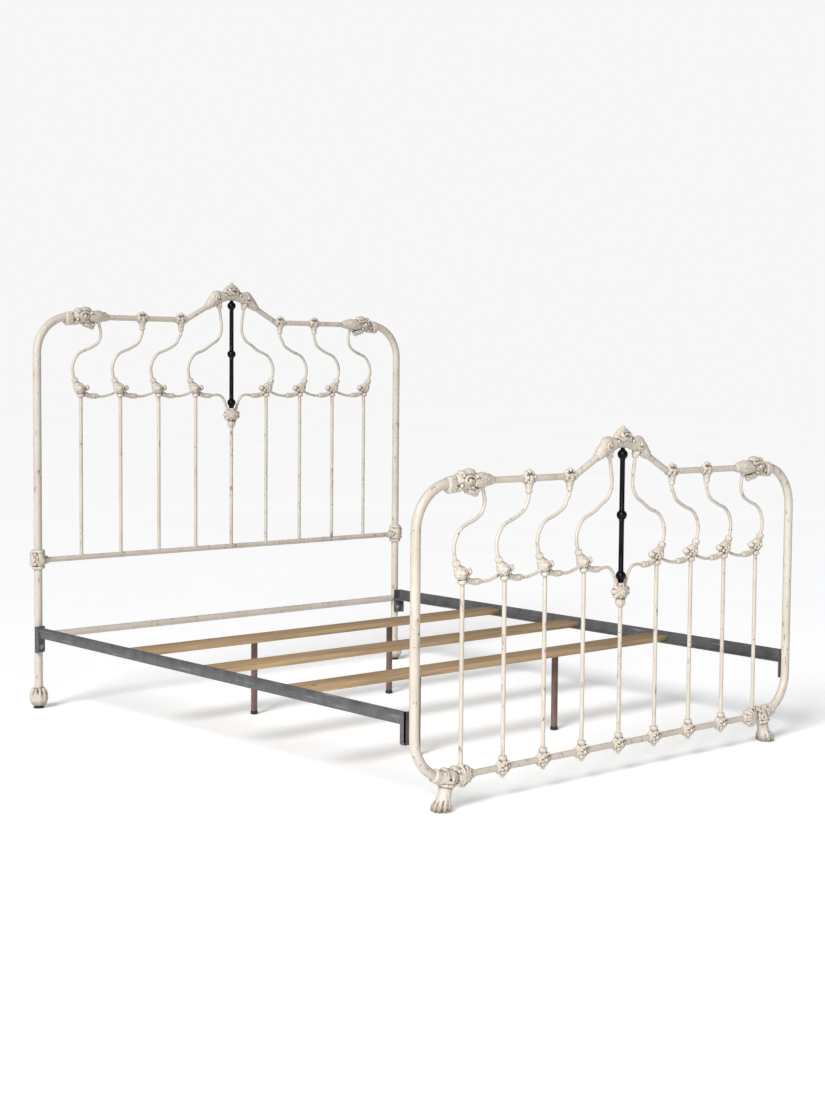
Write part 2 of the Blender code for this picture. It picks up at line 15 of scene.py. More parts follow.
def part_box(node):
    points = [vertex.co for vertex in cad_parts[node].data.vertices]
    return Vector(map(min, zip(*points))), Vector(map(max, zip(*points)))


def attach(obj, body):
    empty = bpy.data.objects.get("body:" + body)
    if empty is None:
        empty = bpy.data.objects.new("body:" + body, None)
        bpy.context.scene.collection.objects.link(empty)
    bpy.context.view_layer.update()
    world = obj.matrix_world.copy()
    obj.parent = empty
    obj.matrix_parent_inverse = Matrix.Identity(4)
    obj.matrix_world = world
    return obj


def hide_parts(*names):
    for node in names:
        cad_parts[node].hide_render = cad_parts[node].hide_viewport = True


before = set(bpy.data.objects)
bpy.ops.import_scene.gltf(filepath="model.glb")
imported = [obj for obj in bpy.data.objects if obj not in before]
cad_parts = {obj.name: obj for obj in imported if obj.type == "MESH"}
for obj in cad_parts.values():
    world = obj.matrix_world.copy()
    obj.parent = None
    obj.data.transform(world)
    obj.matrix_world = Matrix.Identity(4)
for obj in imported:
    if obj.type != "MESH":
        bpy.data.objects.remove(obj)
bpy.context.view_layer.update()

bl_info = {
    "name": "Iron bed frame",
    "version": (1, 0, 0),
    "blender": (4, 5, 0),
    "location": "View3D > Sidebar > Bed",
    "description": "Builds the pieces, finishes and stage of an iron bed frame",
    "category": "Add Mesh",
}

SIDES = {"left": -1, "right": 1}
BOARDS = ("headboard", "footboard")
BODY = "frame"


def middle(node):
    low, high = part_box(node)
    return (low + high) / 2


# Places that come from the frame, in metres
BOARD_Y = {board: middle(f"{board}_black_spindle").y for board in BOARDS}
CREST_RISE = 0.147  # from the top rail's centre to the tip of the crest
RAIL_TOP = {board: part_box(f"{board}_crest_casting")[1].z - CREST_RISE for board in BOARDS}
POST_X = middle("headboard_glide_pad_right").x
CROSS_RAIL_Z = middle("headboard_cross_rail").z
STRETCHER_Z = middle("headboard_bottom_stretcher").z
ROD_END = {"headboard": CROSS_RAIL_Z, "footboard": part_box("footboard_branch_spindle_right_1")[0].z}

PITCH = 0.158  # between neighbouring spindles
BEND = 0.13  # radius of the posts' bends
LOWER_BEND_Z = 0.22
BOTTOM_RAIL_Z = 0.09
SADDLES = {2: 1.4, 3: 2.43}  # where rods 2 and 3 hang from the top rail, in pitches
HOLLOW_DEPTH = 0.0008  # how deep a spot in a casting lies where it is painted fully brown, as painted shade and dirt in its hollows
SMOOTHING = 24  # rounds of smoothing to the skin that hollows are measured from
STRETCHER_RADIUS = 0.0125
STEEL_WALL = 0.004  # thickness of the side rails and brackets
RAIL_LIP = 0.0012  # rounding of the side rails' edges
PLATE_ROUND = 0.007  # radius of the brackets' corners
CAP_WALL = 0.0012  # how far a leg's cap stands out from it
CAP_HEIGHT = 0.012
THREAD_LEAD = 0.00125
ROUND_SHARP = 50  # degrees above which an edge of a round piece is shaded sharp
FLAT_SHARP = 40
HEX_SHARP = 30

CAMERA_PLACE = (-3.889, BOARD_Y["footboard"] - 3.701, 1.24)
CAMERA_DOWN = 3.77  # degrees below level
CAMERA_YAW = 45.07  # degrees from +Y towards +X
CAMERA_ROLL = 0.81
LAMPS_AIM = (0, 0, 0.6)
FLOOR_DROP = 0.0005  # keeps the floor just under the feet


# Sizes and finishes that a user may change


def length(name, description, default, least=0.0):
    return bpy.props.FloatProperty(
        name=name, description=description, default=default, min=least, unit="LENGTH",
    )


def colour(name, description, default):
    return bpy.props.FloatVectorProperty(
        name=name, description=description, subtype="COLOR", size=3, min=0, max=1, default=default
    )


class BedSizes(bpy.types.PropertyGroup):
    """Radii of the frame's round stock."""

    post: length("Post radius", "Radius of the bent posts", 0.014)
    rail: length("Rail radius", "Radius of the thin rails between the posts", 0.0097)
    rod: length("Rod radius", "Radius of the straight spindles", 0.00635)
    bent: length("Bent rod radius", "Radius of the bent rods above the spindles", 0.0052)
    link: length("Link radius", "Radius of the short links between junctions", 0.0047)
    grain: length("Casting grain", "Cell size at which the castings are formed", 0.0014, 0.0008)


class BedFinish(bpy.types.PropertyGroup):
    """Colours of the frame's finishes, in linear light."""

    cream: colour("Cream", "Top coat on rods and castings", (0.54, 0.49, 0.425))
    aged: colour("Aged cream", "Yellowed and rubbed top coat", (0.43, 0.365, 0.285))
    # This brown also paints shade into the castings' creases and recesses.
    undercoat_and_shade: colour("Undercoat", "Brown that shows on worn edges and in recesses", (0.105, 0.066, 0.042))
    chip: colour("Chips", "Bare iron in the small chips", (0.035, 0.024, 0.018))
    black: colour("Black enamel", "Gloss on the centre rods", (0.003, 0.003, 0.0035))
    steel: colour("Rail grey", "Paint on the side rails and their brackets", (0.115, 0.115, 0.12))
    leg: colour("Leg brown", "Paint on the centre legs", (0.17, 0.105, 0.085))
    wood: colour("Slat wood", "Sawn softwood", (0.44, 0.3, 0.165))


# Mesh helpers


def curve_through(stations, steps):
    """A smooth curve through stations, which are tuples, with some steps between each two."""
    made = []
    last = len(stations) - 1
    for index in range(last):
        around = [stations[min(max(index + shift, 0), last)] for shift in (-1, 0, 1, 2)]
        for step in range(steps):
            t = step / steps
            weights = (
                -0.5 * t + t * t - 0.5 * t**3,
                1 - 2.5 * t * t + 1.5 * t**3,
                0.5 * t + 2 * t * t - 1.5 * t**3,
                -0.5 * t * t + 0.5 * t**3,
            )
            made.append(
                tuple(sum(w * v for w, v in zip(weights, values)) for values in zip(*around)),
            )
    made.append(tuple(stations[last]))
    return made


def arc(centre, radius, start, end, steps):
    """Points (x, z) on an arc in a board's plane, angles in degrees from +X towards +Z."""
    made = []
    for step in range(steps + 1):
        angle = math.radians(start + (end - start) * step / steps)
        made.append((centre[0] + radius * math.cos(angle), centre[1] + radius * math.sin(angle)))
    return made


def tube(made, stations, sides=16, lobes=0, lobe_depth=0.0):
    """Adds a closed body along stations (x, y, z, half width, half depth in Y).

    lobes is the number of flutes along it, and lobe_depth their share of the radius.
    """
    stations = [(*s, s[3]) if len(s) == 4 else s for s in stations]
    centres = [Vector(s[:3]) for s in stations]
    rings = []
    for index, centre in enumerate(centres):
        along = centres[min(index + 1, len(centres) - 1)] - centres[max(index - 1, 0)]
        along.normalize()
        guide = Vector((0, 1, 0)) if abs(along.y) < 0.9 else Vector((0, 0, 1))
        deep = (guide - along * guide.dot(along)).normalized()
        across = along.cross(deep)
        width, depth = stations[index][3:5]
        ring = []
        for side in range(sides):
            angle = math.tau * side / sides
            flute = 1 + lobe_depth * math.cos(lobes * angle)
            offset = across * (width * math.cos(angle)) + deep * (depth * math.sin(angle))
            ring.append(made.verts.new(centre + offset * flute))
        rings.append(ring)
    for low, high in zip(rings, rings[1:]):
        for side in range(sides):
            after = (side + 1) % sides
            made.faces.new((low[side], low[after], high[after], high[side]))
    for ring in (rings[0], rings[-1]):
        made.faces.new(ring)


def flat_tube(made, stations, sides=16, **flutes):
    """tube() for stations (x, z, half width, half depth) in the board's own plane."""
    tube(made, [(s[0], 0, s[1], *s[2:]) for s in stations], sides, **flutes)


def lump(made, centre, radii, tilt=0.0):
    """Adds an ellipsoid, tilted in the board's plane by an angle in degrees."""
    turn = Matrix.Rotation(math.radians(-tilt), 4, "Y")
    place = Matrix.Translation(Vector(centre)) @ turn @ Matrix.Diagonal((*radii, 1))
    bmesh.ops.create_icosphere(made, subdivisions=3, radius=1, matrix=place)


def bead(made, centre, radius):
    lump(made, centre, (radius, radius, radius))


def studs(made, *spots):
    """Adds a bead (x, y, z, radius) on the front of a casting and another on its back."""
    for front in (-1, 1):
        for x, y, z, radius in spots:
            bead(made, (x, front * y, z), radius)


def turned(made, profile, sides=16, **flutes):
    """flat_tube() for an upright shape on x = 0, from (z, half width, half depth)."""
    flat_tube(made, [(0, *s) for s in profile], sides, **flutes)


def ridges_on(made, centre, radii, lines, width, tilt=0.0):
    """Adds raised lines on the front and back of an ellipsoid.

    A line is a list of (share of the ellipsoid's radius, degrees).
    """
    turn = math.radians(tilt)
    for line in lines:
        for front in (-1, 1):
            stations = []
            for index, (share, degrees) in enumerate(curve_through(line, 5)):
                angle = math.radians(degrees)
                x = radii[0] * share * math.cos(angle)
                z = radii[2] * share * math.sin(angle)
                y = front * radii[1] * math.sqrt(max(1 - share * share, 0))
                turned_x = x * math.cos(turn) - z * math.sin(turn)
                spot = (turned_x, y, x * math.sin(turn) + z * math.cos(turn))
                fade = math.sin(math.pi * (0.12 + 0.82 * index / (5 * (len(line) - 1))))
                place = [centre[axis] + spot[axis] for axis in range(3)]
                stations.append((*place, max(width * fade, width * 0.3)))
            tube(made, stations, 8)


def scroll(turns, start, inner, outer, points=9):
    """A spiral line for ridges_on."""
    made = []
    for index in range(points):
        share = index / (points - 1)
        made.append((inner + (outer - inner) * share, start + 360 * turns * share))
    return made


def rays(count, first, last, inner, outer):
    """Straight lines for ridges_on, fanned between two angles."""
    step = (last - first) / (count - 1)
    angles = [first + step * index for index in range(count)]
    return [[(inner, angle), (outer, angle)] for angle in angles]


def mesh_of(name, made):
    bmesh.ops.recalc_face_normals(made, faces=made.faces)
    mesh = bpy.data.meshes.new(name)
    made.to_mesh(mesh)
    made.free()
    return mesh


def cast(name, made, grain, swell=0.001, groove=0.0009):
    """Fuses overlapping shapes into one cast skin and gives it the uneven face of cast iron."""
    rough = bpy.data.objects.new(name, mesh_of(name, made))
    bpy.context.scene.collection.objects.link(rough)
    fused = rough.modifiers.new("fuse", "REMESH")
    fused.mode = "VOXEL"
    fused.voxel_size = grain
    soft = rough.modifiers.new("soften", "SMOOTH")
    soft.factor = 0.5
    soft.iterations = 2
    graph = bpy.context.evaluated_depsgraph_get()
    mesh = bpy.data.meshes.new_from_object(rough.evaluated_get(graph))
    bpy.data.objects.remove(rough)
    mesh.name = name
    normals = [vert.normal.copy() for vert in mesh.vertices]
    depths = depth_below(mesh, SMOOTHING)
    # Marks creases and sunken spots, which the casting finish paints brown as painted shade and dirt.
    hollow_dirt_and_shade = mesh.attributes.new("hollow_dirt_and_shade", "FLOAT", "POINT")
    for vert, normal in zip(mesh.vertices, normals):
        coarse = noise.noise(vert.co * 80)
        fine = noise.noise(vert.co * 260 + Vector((3, 1, 7)))
        crease = max(0, 1 - abs(noise.noise(vert.co * 95 + Vector((5, 9, 2)))) / 0.16)
        vert.co += normal * (swell * (coarse + 0.55 * fine) - groove * crease)
        hollow_dirt_and_shade.data[vert.index].value = 0.45 * crease + depths[vert.index] / HOLLOW_DEPTH
    mesh.shade_smooth()
    return mesh


def depth_below(mesh, rounds):
    """How far each vertex lies below the smoothed skin, in metres, and negative on a high spot."""
    count = len(mesh.vertices)
    points = np.empty(count * 3)
    mesh.vertices.foreach_get("co", points)
    points = points.reshape(-1, 3)
    normals = np.empty(count * 3)
    mesh.vertices.foreach_get("normal", normals)
    ends = np.empty(len(mesh.edges) * 2, np.int32)
    mesh.edges.foreach_get("vertices", ends)
    first = ends[0::2]
    second = ends[1::2]
    near = np.concatenate((second, first))
    at = np.concatenate((first, second))
    degree = np.bincount(at, minlength=count)
    soft = points.copy()
    for _ in range(rounds):
        sums = [np.bincount(at, soft[near, axis], count) / degree for axis in range(3)]
        soft = np.stack(sums, 1)
    return ((soft - points) * normals.reshape(-1, 3)).sum(1)


def piece(name, mesh, material, nodes, place=None, body=BODY):
    """Makes a visible piece that rides on a body and stands for CAD nodes.

    place is a matrix baked into a copy of the mesh.
    """
    if place is not None:
        mesh = mesh.copy()
        mesh.transform(place)
        if place.determinant() < 0:
            mesh.flip_normals()
    mesh.materials.clear()
    mesh.materials.append(material)
    shown = bpy.data.objects.new(name, mesh)
    bpy.context.scene.collection.objects.link(shown)
    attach(shown, body)
    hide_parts(*nodes)
    return shown


def smooth_under(mesh, degrees):
    """Shades the mesh smooth, apart from its edges sharper than an angle."""
    mesh.shade_smooth()
    mesh.set_sharp_from_angle(angle=math.radians(degrees))


def round_piece(name, stations, material, nodes, sides=24):
    """A smooth swept piece from stations (x, y, z, half width, half depth)."""
    made = bmesh.new()
    tube(made, stations, sides)
    mesh = mesh_of(name, made)
    smooth_under(mesh, ROUND_SHARP)
    return piece(name, mesh, material, nodes)


def board_place(board, side=1, shift_x=0.0, height=None):
    """The matrix that puts a +X casting on a board, mirrored for the left side."""
    level = RAIL_TOP[board] if height is None else height
    return Matrix.Translation(
        (side * shift_x, BOARD_Y[board], level)) @ Matrix.Diagonal((side, 1, 1, 1),
    )


# Finishes


class Finish:
    """Node-building shorthand for one material."""

    def __init__(self, name):
        self.material = bpy.data.materials.new(name)
        self.material.use_nodes = True
        self.tree = self.material.node_tree
        self.shader = self.tree.nodes["Principled BSDF"]
        self.place = self.tree.nodes.new("ShaderNodeTexCoord").outputs["Object"]

    def link(self, source, socket):
        self.tree.links.new(source, socket)

    def paint(self, source):
        self.link(source, self.shader.inputs["Base Color"])

    def roughen(self, source):
        self.link(source, self.shader.inputs["Roughness"])

    def stretched(self, scale):
        mapping = self.tree.nodes.new("ShaderNodeMapping")
        mapping.inputs["Scale"].default_value = scale
        self.link(self.place, mapping.inputs["Vector"])
        return mapping.outputs["Vector"]

    def noise(self, scale, detail=4.0, roughness=0.55, where=None):
        node = self.tree.nodes.new("ShaderNodeTexNoise")
        node.inputs["Scale"].default_value = scale
        node.inputs["Detail"].default_value = detail
        node.inputs["Roughness"].default_value = roughness
        self.link(where or self.place, node.inputs["Vector"])
        return node.outputs["Fac"]

    def cells(self, scale):
        node = self.tree.nodes.new("ShaderNodeTexVoronoi")
        node.inputs["Scale"].default_value = scale
        self.link(self.place, node.inputs["Vector"])
        return node.outputs["Distance"]

    def attribute(self, name):
        node = self.tree.nodes.new("ShaderNodeAttribute")
        node.attribute_name = name
        return node.outputs["Fac"]

    def edges(self):
        """Above 0.5 on outer edges and below it in hollows."""
        return self.tree.nodes.new("ShaderNodeNewGeometry").outputs["Pointiness"]

    def height(self):
        """Height above the floor in metres."""
        node = self.tree.nodes.new("ShaderNodeSeparateXYZ")
        self.link(self.place, node.inputs["Vector"])
        return node.outputs["Z"]

    def ramp(self, source, low, high, start=0.0, end=1.0):
        node = self.tree.nodes.new("ShaderNodeMapRange")
        node.inputs["From Min"].default_value = low
        node.inputs["From Max"].default_value = high
        node.inputs["To Min"].default_value = start
        node.inputs["To Max"].default_value = end
        self.link(source, node.inputs["Value"])
        return node.outputs["Result"]

    def math(self, operation, first, second):
        node = self.tree.nodes.new("ShaderNodeMath")
        node.operation = operation
        node.use_clamp = True
        for socket, value in zip(node.inputs, (first, second)):
            if isinstance(value, float):
                socket.default_value = value
            else:
                self.link(value, socket)
        return node.outputs["Value"]

    def mix(self, factor, first, second):
        node = self.tree.nodes.new("ShaderNodeMix")
        node.data_type = "RGBA"
        self.link(factor, node.inputs["Factor"])
        for socket, value in ((node.inputs[6], first), (node.inputs[7], second)):
            if hasattr(value, "links"):
                self.link(value, socket)
            else:
                socket.default_value = (*value, 1)
        return node.outputs[2]

    def bump(self, *layers):
        """layers are (height, distance in metres, strength), the first one lowest."""
        normal = None
        for height, distance, strength in layers:
            node = self.tree.nodes.new("ShaderNodeBump")
            node.inputs["Distance"].default_value = distance
            node.inputs["Strength"].default_value = strength
            self.link(height, node.inputs["Height"])
            if normal is not None:
                self.link(normal, node.inputs["Normal"])
            normal = node.outputs["Normal"]
        self.link(normal, self.shader.inputs["Normal"])


def aged_cream(finish, colours):
    """Cream with yellowed patches and streaks, as a colour to build on."""
    patches = finish.ramp(finish.noise(9, 5), 0.42, 0.68)
    streaks = finish.ramp(finish.noise(38, 3, where=finish.stretched((1, 1, 0.12))), 0.5, 0.74)
    aged = finish.math("MULTIPLY", finish.math("MAXIMUM", patches, streaks), 0.55)
    return finish.mix(aged, colours.cream, colours.aged)


def chip_spots(finish, size, limit):
    """1 in small scattered spots where the paint has come off."""
    spots = finish.ramp(finish.noise(size, 3, 0.5), limit, limit + 0.025)
    zones = finish.ramp(finish.noise(16, 3), 0.46, 0.58)
    return finish.math("MULTIPLY", spots, zones)


def rod_cream(colours):
    """Cream paint on drawn rod and tube: rubbed streaks and small dark chips."""
    finish = Finish("rod_cream")
    colour = aged_cream(finish, colours)
    rubbed = finish.ramp(finish.noise(78, 6, 0.62, finish.stretched((1, 1, 0.35))), 0.59, 0.69)
    colour = finish.mix(finish.math("MULTIPLY", rubbed, 0.75), colour, colours.undercoat_and_shade)
    spots = chip_spots(finish, 150, 0.66)
    colour = finish.mix(spots, colour, colours.chip)
    finish.paint(colour)
    finish.roughen(finish.ramp(finish.noise(50, 4), 0.3, 0.7, 0.4, 0.6))
    sunk = finish.ramp(finish.math("MAXIMUM", spots, rubbed), 0.0, 1.0, 1.0, 0.0)
    brushed = finish.noise(300, 5, 0.65)
    finish.bump((brushed, 0.0004, 0.35), (finish.noise(70, 3), 0.001, 0.3), (sunk, 0.0004, 0.8))
    return finish.material


def casting_cream(colours):
    """Cream paint on rough cast iron: brown painted shade and dirt in the creases and hollows, and brown
    wear on rubbed high spots.
    """
    finish = Finish("casting_cream")
    colour = aged_cream(finish, colours)
    breakup = finish.ramp(finish.noise(120, 4), 0.2, 0.55)
    # Painted shade together with brown dirt: concave spots, creases and sunken spots are painted undercoat
    # brown.
    deep = finish.ramp(finish.edges(), 0.49, 0.44)
    creases = finish.math("MULTIPLY", finish.ramp(finish.attribute("hollow_dirt_and_shade"), 0.15, 0.8), 0.95)
    hollow_dirt_and_shade = finish.math("MULTIPLY", finish.math("MAXIMUM", deep, creases), breakup)
    colour = finish.mix(hollow_dirt_and_shade, colour, colours.undercoat_and_shade)
    # Darker towards the floor, over the lowest 3 cm.
    low_down = finish.ramp(finish.height(), 0.03, 0.002)
    darker_near_floor = finish.math("MULTIPLY", low_down, finish.ramp(breakup, 0.0, 1.0, 0.5, 0.95))
    colour = finish.mix(darker_near_floor, colour, colours.undercoat_and_shade)
    scuffs = finish.ramp(finish.noise(75, 5), 0.5, 0.62)
    rubbed = finish.math("MULTIPLY", finish.ramp(finish.edges(), 0.54, 0.62), scuffs)
    colour = finish.mix(finish.math("MULTIPLY", rubbed, 0.5), colour, colours.undercoat_and_shade)
    spots = chip_spots(finish, 140, 0.66)
    colour = finish.mix(spots, colour, colours.chip)
    finish.paint(colour)
    gloss = finish.ramp(finish.noise(50, 4), 0.3, 0.7, 0.45, 0.65)
    finish.roughen(finish.math("ADD", gloss, finish.math("MULTIPLY", hollow_dirt_and_shade, 0.3)))
    sunk = finish.ramp(spots, 0.0, 1.0, 1.0, 0.0)
    finish.bump((finish.noise(300, 5, 0.65), 0.0005, 0.5), (sunk, 0.0005, 0.8))
    return finish.material


def black_enamel(colours):
    finish = Finish("black_enamel")
    dust = finish.ramp(finish.noise(60, 5), 0.45, 0.8)
    colour = finish.mix(dust, colours.black, (0.008, 0.008, 0.009))
    finish.paint(colour)
    finish.roughen(finish.ramp(finish.noise(35, 4), 0.3, 0.7, 0.16, 0.3))
    finish.shader.inputs["Specular IOR Level"].default_value = 0.12
    finish.bump((finish.noise(40, 2), 0.0006, 0.15),)
    return finish.material


def rail_paint(colours):
    finish = Finish("rail_paint")
    mottled = finish.ramp(finish.noise(26, 5), 0.35, 0.7)
    colour = finish.mix(mottled, colours.steel, tuple(0.62 * value for value in colours.steel))
    scratched = finish.ramp(finish.noise(110, 4, where=finish.stretched((1, 0.06, 1))), 0.6, 0.7)
    colour = finish.mix(finish.math("MULTIPLY", scratched, 0.5), colour, (0.3, 0.3, 0.3))
    rust = finish.ramp(finish.noise(55, 6), 0.64, 0.72)
    colour = finish.mix(rust, colour, (0.09, 0.045, 0.025))
    finish.paint(colour)
    finish.shader.inputs["Metallic"].default_value = 0.25
    finish.roughen(finish.ramp(finish.noise(45, 4), 0.3, 0.7, 0.38, 0.6))
    finish.bump((finish.noise(260, 4), 0.0003, 0.35),)
    return finish.material


def zinc(colours):
    finish = Finish("dull_zinc")
    cloudy = finish.ramp(finish.cells(180), 0.1, 0.6)
    colour = finish.mix(cloudy, (0.2, 0.2, 0.21), (0.34, 0.34, 0.345))
    finish.paint(finish.mix(finish.ramp(finish.noise(130), 0.58, 0.7), colour, colours.undercoat_and_shade))
    finish.shader.inputs["Metallic"].default_value = 0.8
    finish.roughen(finish.ramp(finish.noise(90), 0.3, 0.7, 0.35, 0.55))
    finish.bump((finish.noise(400), 0.0002, 0.3),)
    return finish.material


def leg_paint(colours):
    finish = Finish("leg_paint")
    dull = finish.ramp(finish.noise(30, 4), 0.35, 0.7)
    colour = finish.mix(dull, colours.leg, tuple(0.6 * value for value in colours.leg))
    finish.paint(colour)
    finish.roughen(finish.ramp(finish.noise(60), 0.3, 0.7, 0.4, 0.6))
    finish.bump((finish.noise(250), 0.0003, 0.3),)
    return finish.material


def slat_wood(colours):
    finish = Finish("slat_wood")
    grain = finish.noise(55, 6, 0.6, where=finish.stretched((0.05, 1, 1)))
    fibres = finish.noise(420, 3, 0.6, where=finish.stretched((0.02, 1, 1)))
    late = finish.ramp(grain, 0.44, 0.62)
    colour = finish.mix(late, colours.wood, tuple(0.66 * value for value in colours.wood))
    darker = finish.math("MULTIPLY", finish.ramp(fibres, 0.45, 0.75), 0.35)
    colour = finish.mix(darker, colour, (0.26, 0.15, 0.075))
    knots = finish.ramp(finish.cells(5), 0.05, 0.02)
    colour = finish.mix(knots, colour, (0.12, 0.06, 0.03))
    finish.paint(colour)
    finish.roughen(finish.ramp(grain, 0.3, 0.7, 0.55, 0.72))
    finish.bump((fibres, 0.0004, 0.4), (grain, 0.0006, 0.3))
    return finish.material


def glide_plastic(_colours):
    finish = Finish("glide_plastic")
    scuffed = finish.ramp(finish.noise(140, 5), 0.5, 0.75)
    finish.paint(finish.mix(scuffed, (0.012, 0.012, 0.012), (0.045, 0.045, 0.045)))
    finish.roughen(finish.ramp(finish.noise(90), 0.3, 0.7, 0.45, 0.65))
    finish.bump((finish.noise(500), 0.0002, 0.4))
    return finish.material


FINISHES = {
    "rod_cream": rod_cream,
    "casting_cream": casting_cream,
    "black_enamel": black_enamel,
    "rail_paint": rail_paint,
    "dull_zinc": zinc,
    "leg_paint": leg_paint,
    "slat_wood": slat_wood,
    "glide_plastic": glide_plastic,
}
MADE = {}  # finishes and castings, made once and shared by the pieces


def finish_named(name):
    if name not in MADE:
        MADE[name] = FINISHES[name](PlainColours(bpy.context.scene.bed_finish))
    return MADE[name]


class PlainColours:
    """The finish colours as plain tuples."""

    def __init__(self, group):
        for name in ("cream", "aged", "undercoat_and_shade", "chip", "black", "steel", "leg", "wood"):
            setattr(self, name, tuple(getattr(group, name)))


# Castings, each made once on the +X side


def corner_casting(made):
    """The leafy knot where a post's bend meets the top rail."""
    block = [
        (0.6935, -0.008, 0.019), (0.6895, -0.0078, 0.0222), (0.678, -0.0075, 0.0232),
        (0.669, -0.007, 0.0205),
    ]
    flat_tube(made, [(*s, min(s[2], 0.0205)) for s in block], 20)
    for x, z in ((0.683, 0.0105), (0.671, 0.012), (0.684, -0.0255), (0.67, -0.0245)):
        lump(made, (x, 0, z), (0.0085, 0.015, 0.006), 10)
    knot = (0.625, 0, 0.003)
    radii = (0.043, 0.0225, 0.0285)
    lump(made, knot, radii)
    lump(made, (0.615, 0, 0.02), (0.025, 0.017, 0.0165), -8)
    lump(made, (0.64, 0, 0.0195), (0.015, 0.015, 0.0125), 20)
    lump(made, (0.603, 0, -0.024), (0.027, 0.016, 0.0145), 14)
    lump(made, (0.59, 0, -0.0335), (0.012, 0.0105, 0.0105), 20)
    lump(made, (0.652, 0, -0.019), (0.018, 0.016, 0.011), -10)
    neck = [
        (0.6, 0, 0.0215), (0.575, 0.001, 0.0225), (0.555, 0.002, 0.02), (0.535, 0.001, 0.0155),
        (0.522, 0, 0.012),
    ]
    flat_tube(made, curve_through(neck, 4), 20)
    lump(made, (0.5625, 0, -0.015), (0.0105, 0.01, 0.01))
    lump(made, (0.567, 0, 0.014), (0.019, 0.013, 0.0105), -12)
    lump(made, (0.545, 0, 0.013), (0.015, 0.01, 0.0065), -10)
    lump(made, (0.537, 0, -0.008), (0.012, 0.011, 0.006), 12)
    ridges_on(made, knot, radii, [scroll(1.25, 200, 0.1, 0.72)], 0.0042)
    ridges_on(made, knot, radii, rays(7, 60, 300, 0.66, 0.96), 0.0036)
    leaf = (0.57, 0, 0.0)
    leaf_radii = (0.034, 0.019, 0.022)
    ridges_on(
        made, leaf, leaf_radii,
        [[(0.2, 0), (0.5, 170), (0.95, 180)], [(0.3, 60), (0.6, 135), (0.92, 158)]], 0.0036,
    )
    ridges_on(
        made, leaf, leaf_radii, [[(0.3, -60), (0.6, -135), (0.92, -158)], [(0.55, 80), (0.9, 110)]],
        0.0036,
    )
    lobe = (0.601, 0, -0.024)
    ridges_on(made, lobe, (0.028, 0.0165, 0.015), rays(6, 190, 350, 0.25, 0.95), 0.003)
    studs(
        made,
        (0.625, 0.0235, 0.003, 0.0062),
        (0.597, 0.0195, 0.014, 0.0056),
        (0.645, 0.0185, 0.018, 0.0054),
        (0.652, 0.018, -0.01, 0.0056),
        (0.612, 0.019, -0.016, 0.005),
    )


def crest_casting(made):
    """Two scrolled shoulders with a leaf finial between them."""
    for side in (-1, 1):
        arm = [
            (0.11, 0.0515, 0.0135), (0.098, 0.06, 0.0165), (0.084, 0.073, 0.021),
            (0.066, 0.083, 0.025), (0.046, 0.089, 0.0205), (0.026, 0.092, 0.0165),
            (0.0, 0.095, 0.016),
        ]
        arm = [(side * x, z, width, min(width, 0.0175)) for x, z, width in arm]
        flat_tube(made, curve_through(arm, 4), 20)
        shoulder = (side * 0.066, 0, 0.087)
        radii = (0.029, 0.0175, 0.0265)
        lump(made, shoulder, radii, side * -28)
        foot = [
            (0.062, 0.078, 0.017), (0.058, 0.064, 0.0135), (0.0545, 0.053, 0.0105),
            (0.0535, 0.0465, 0.0098),
        ]
        flat_tube(made, curve_through([(side * x, z, width) for x, z, width in foot], 3), 16)
        lump(made, (side * 0.083, 0, 0.062), (0.021, 0.0125, 0.0125), side * -30)
        turn = 180 if side > 0 else 0
        ridges_on(made, shoulder, radii, [scroll(side * -1.3, turn, 0.1, 0.8)], 0.0034)
        ridges_on(
            made, shoulder, radii, rays(4, turn + side * 30, turn + side * 150, 0.7, 0.97), 0.0028,
        )
        studs(
            made,
            (side * 0.066, 0.018, 0.087, 0.0052),
            (side * 0.092, 0.012, 0.064, 0.0045),
            (side * 0.056, 0.0115, 0.06, 0.0042),
            (side * 0.032, 0.015, 0.098, 0.005),
        )
    leaf = [
        (0.088, 0.028, 0.016), (0.098, 0.0385, 0.0178), (0.107, 0.041, 0.0176),
        (0.114, 0.036, 0.016), (0.1215, 0.0295, 0.014), (0.129, 0.022, 0.0118),
        (0.1345, 0.0145, 0.0092), (0.1385, 0.0085, 0.007), (0.1405, 0.0055, 0.0055),
    ]
    turned(made, curve_through(leaf, 4), 24)
    bead(made, (0, 0, 0.1408), 0.006)
    centre = (0, 0, 0.109)
    radii = (0.038, 0.0182, 0.027)
    ridges_on(made, centre, radii, [[(0.75, 270), (0.02, 270), (0.85, 90)]], 0.0042)
    ridges_on(
        made, centre, radii,
        [[(0.3, 250), (0.55, 200), (0.85, 168)], [(0.3, 290), (0.55, 340), (0.85, 12)]], 0.004,
    )
    ridges_on(
        made, centre, radii,
        [[(0.12, 200), (0.5, 140), (0.88, 125)], [(0.12, 340), (0.5, 40), (0.88, 55)]], 0.0036,
    )
    ridges_on(
        made, centre, radii,
        [[(0.45, 235), (0.75, 205), (0.97, 190)], [(0.45, 305), (0.75, 335), (0.97, 350)]], 0.0036,
    )
    for side in (-1, 1):
        bead(made, (side * 0.03, 0, 0.117), 0.0058)
        bead(made, (side * 0.019, 0, 0.129), 0.005)
    turned(made, [(0.09, 0.012), (0.083, 0.0095), (0.0785, 0.0062)])


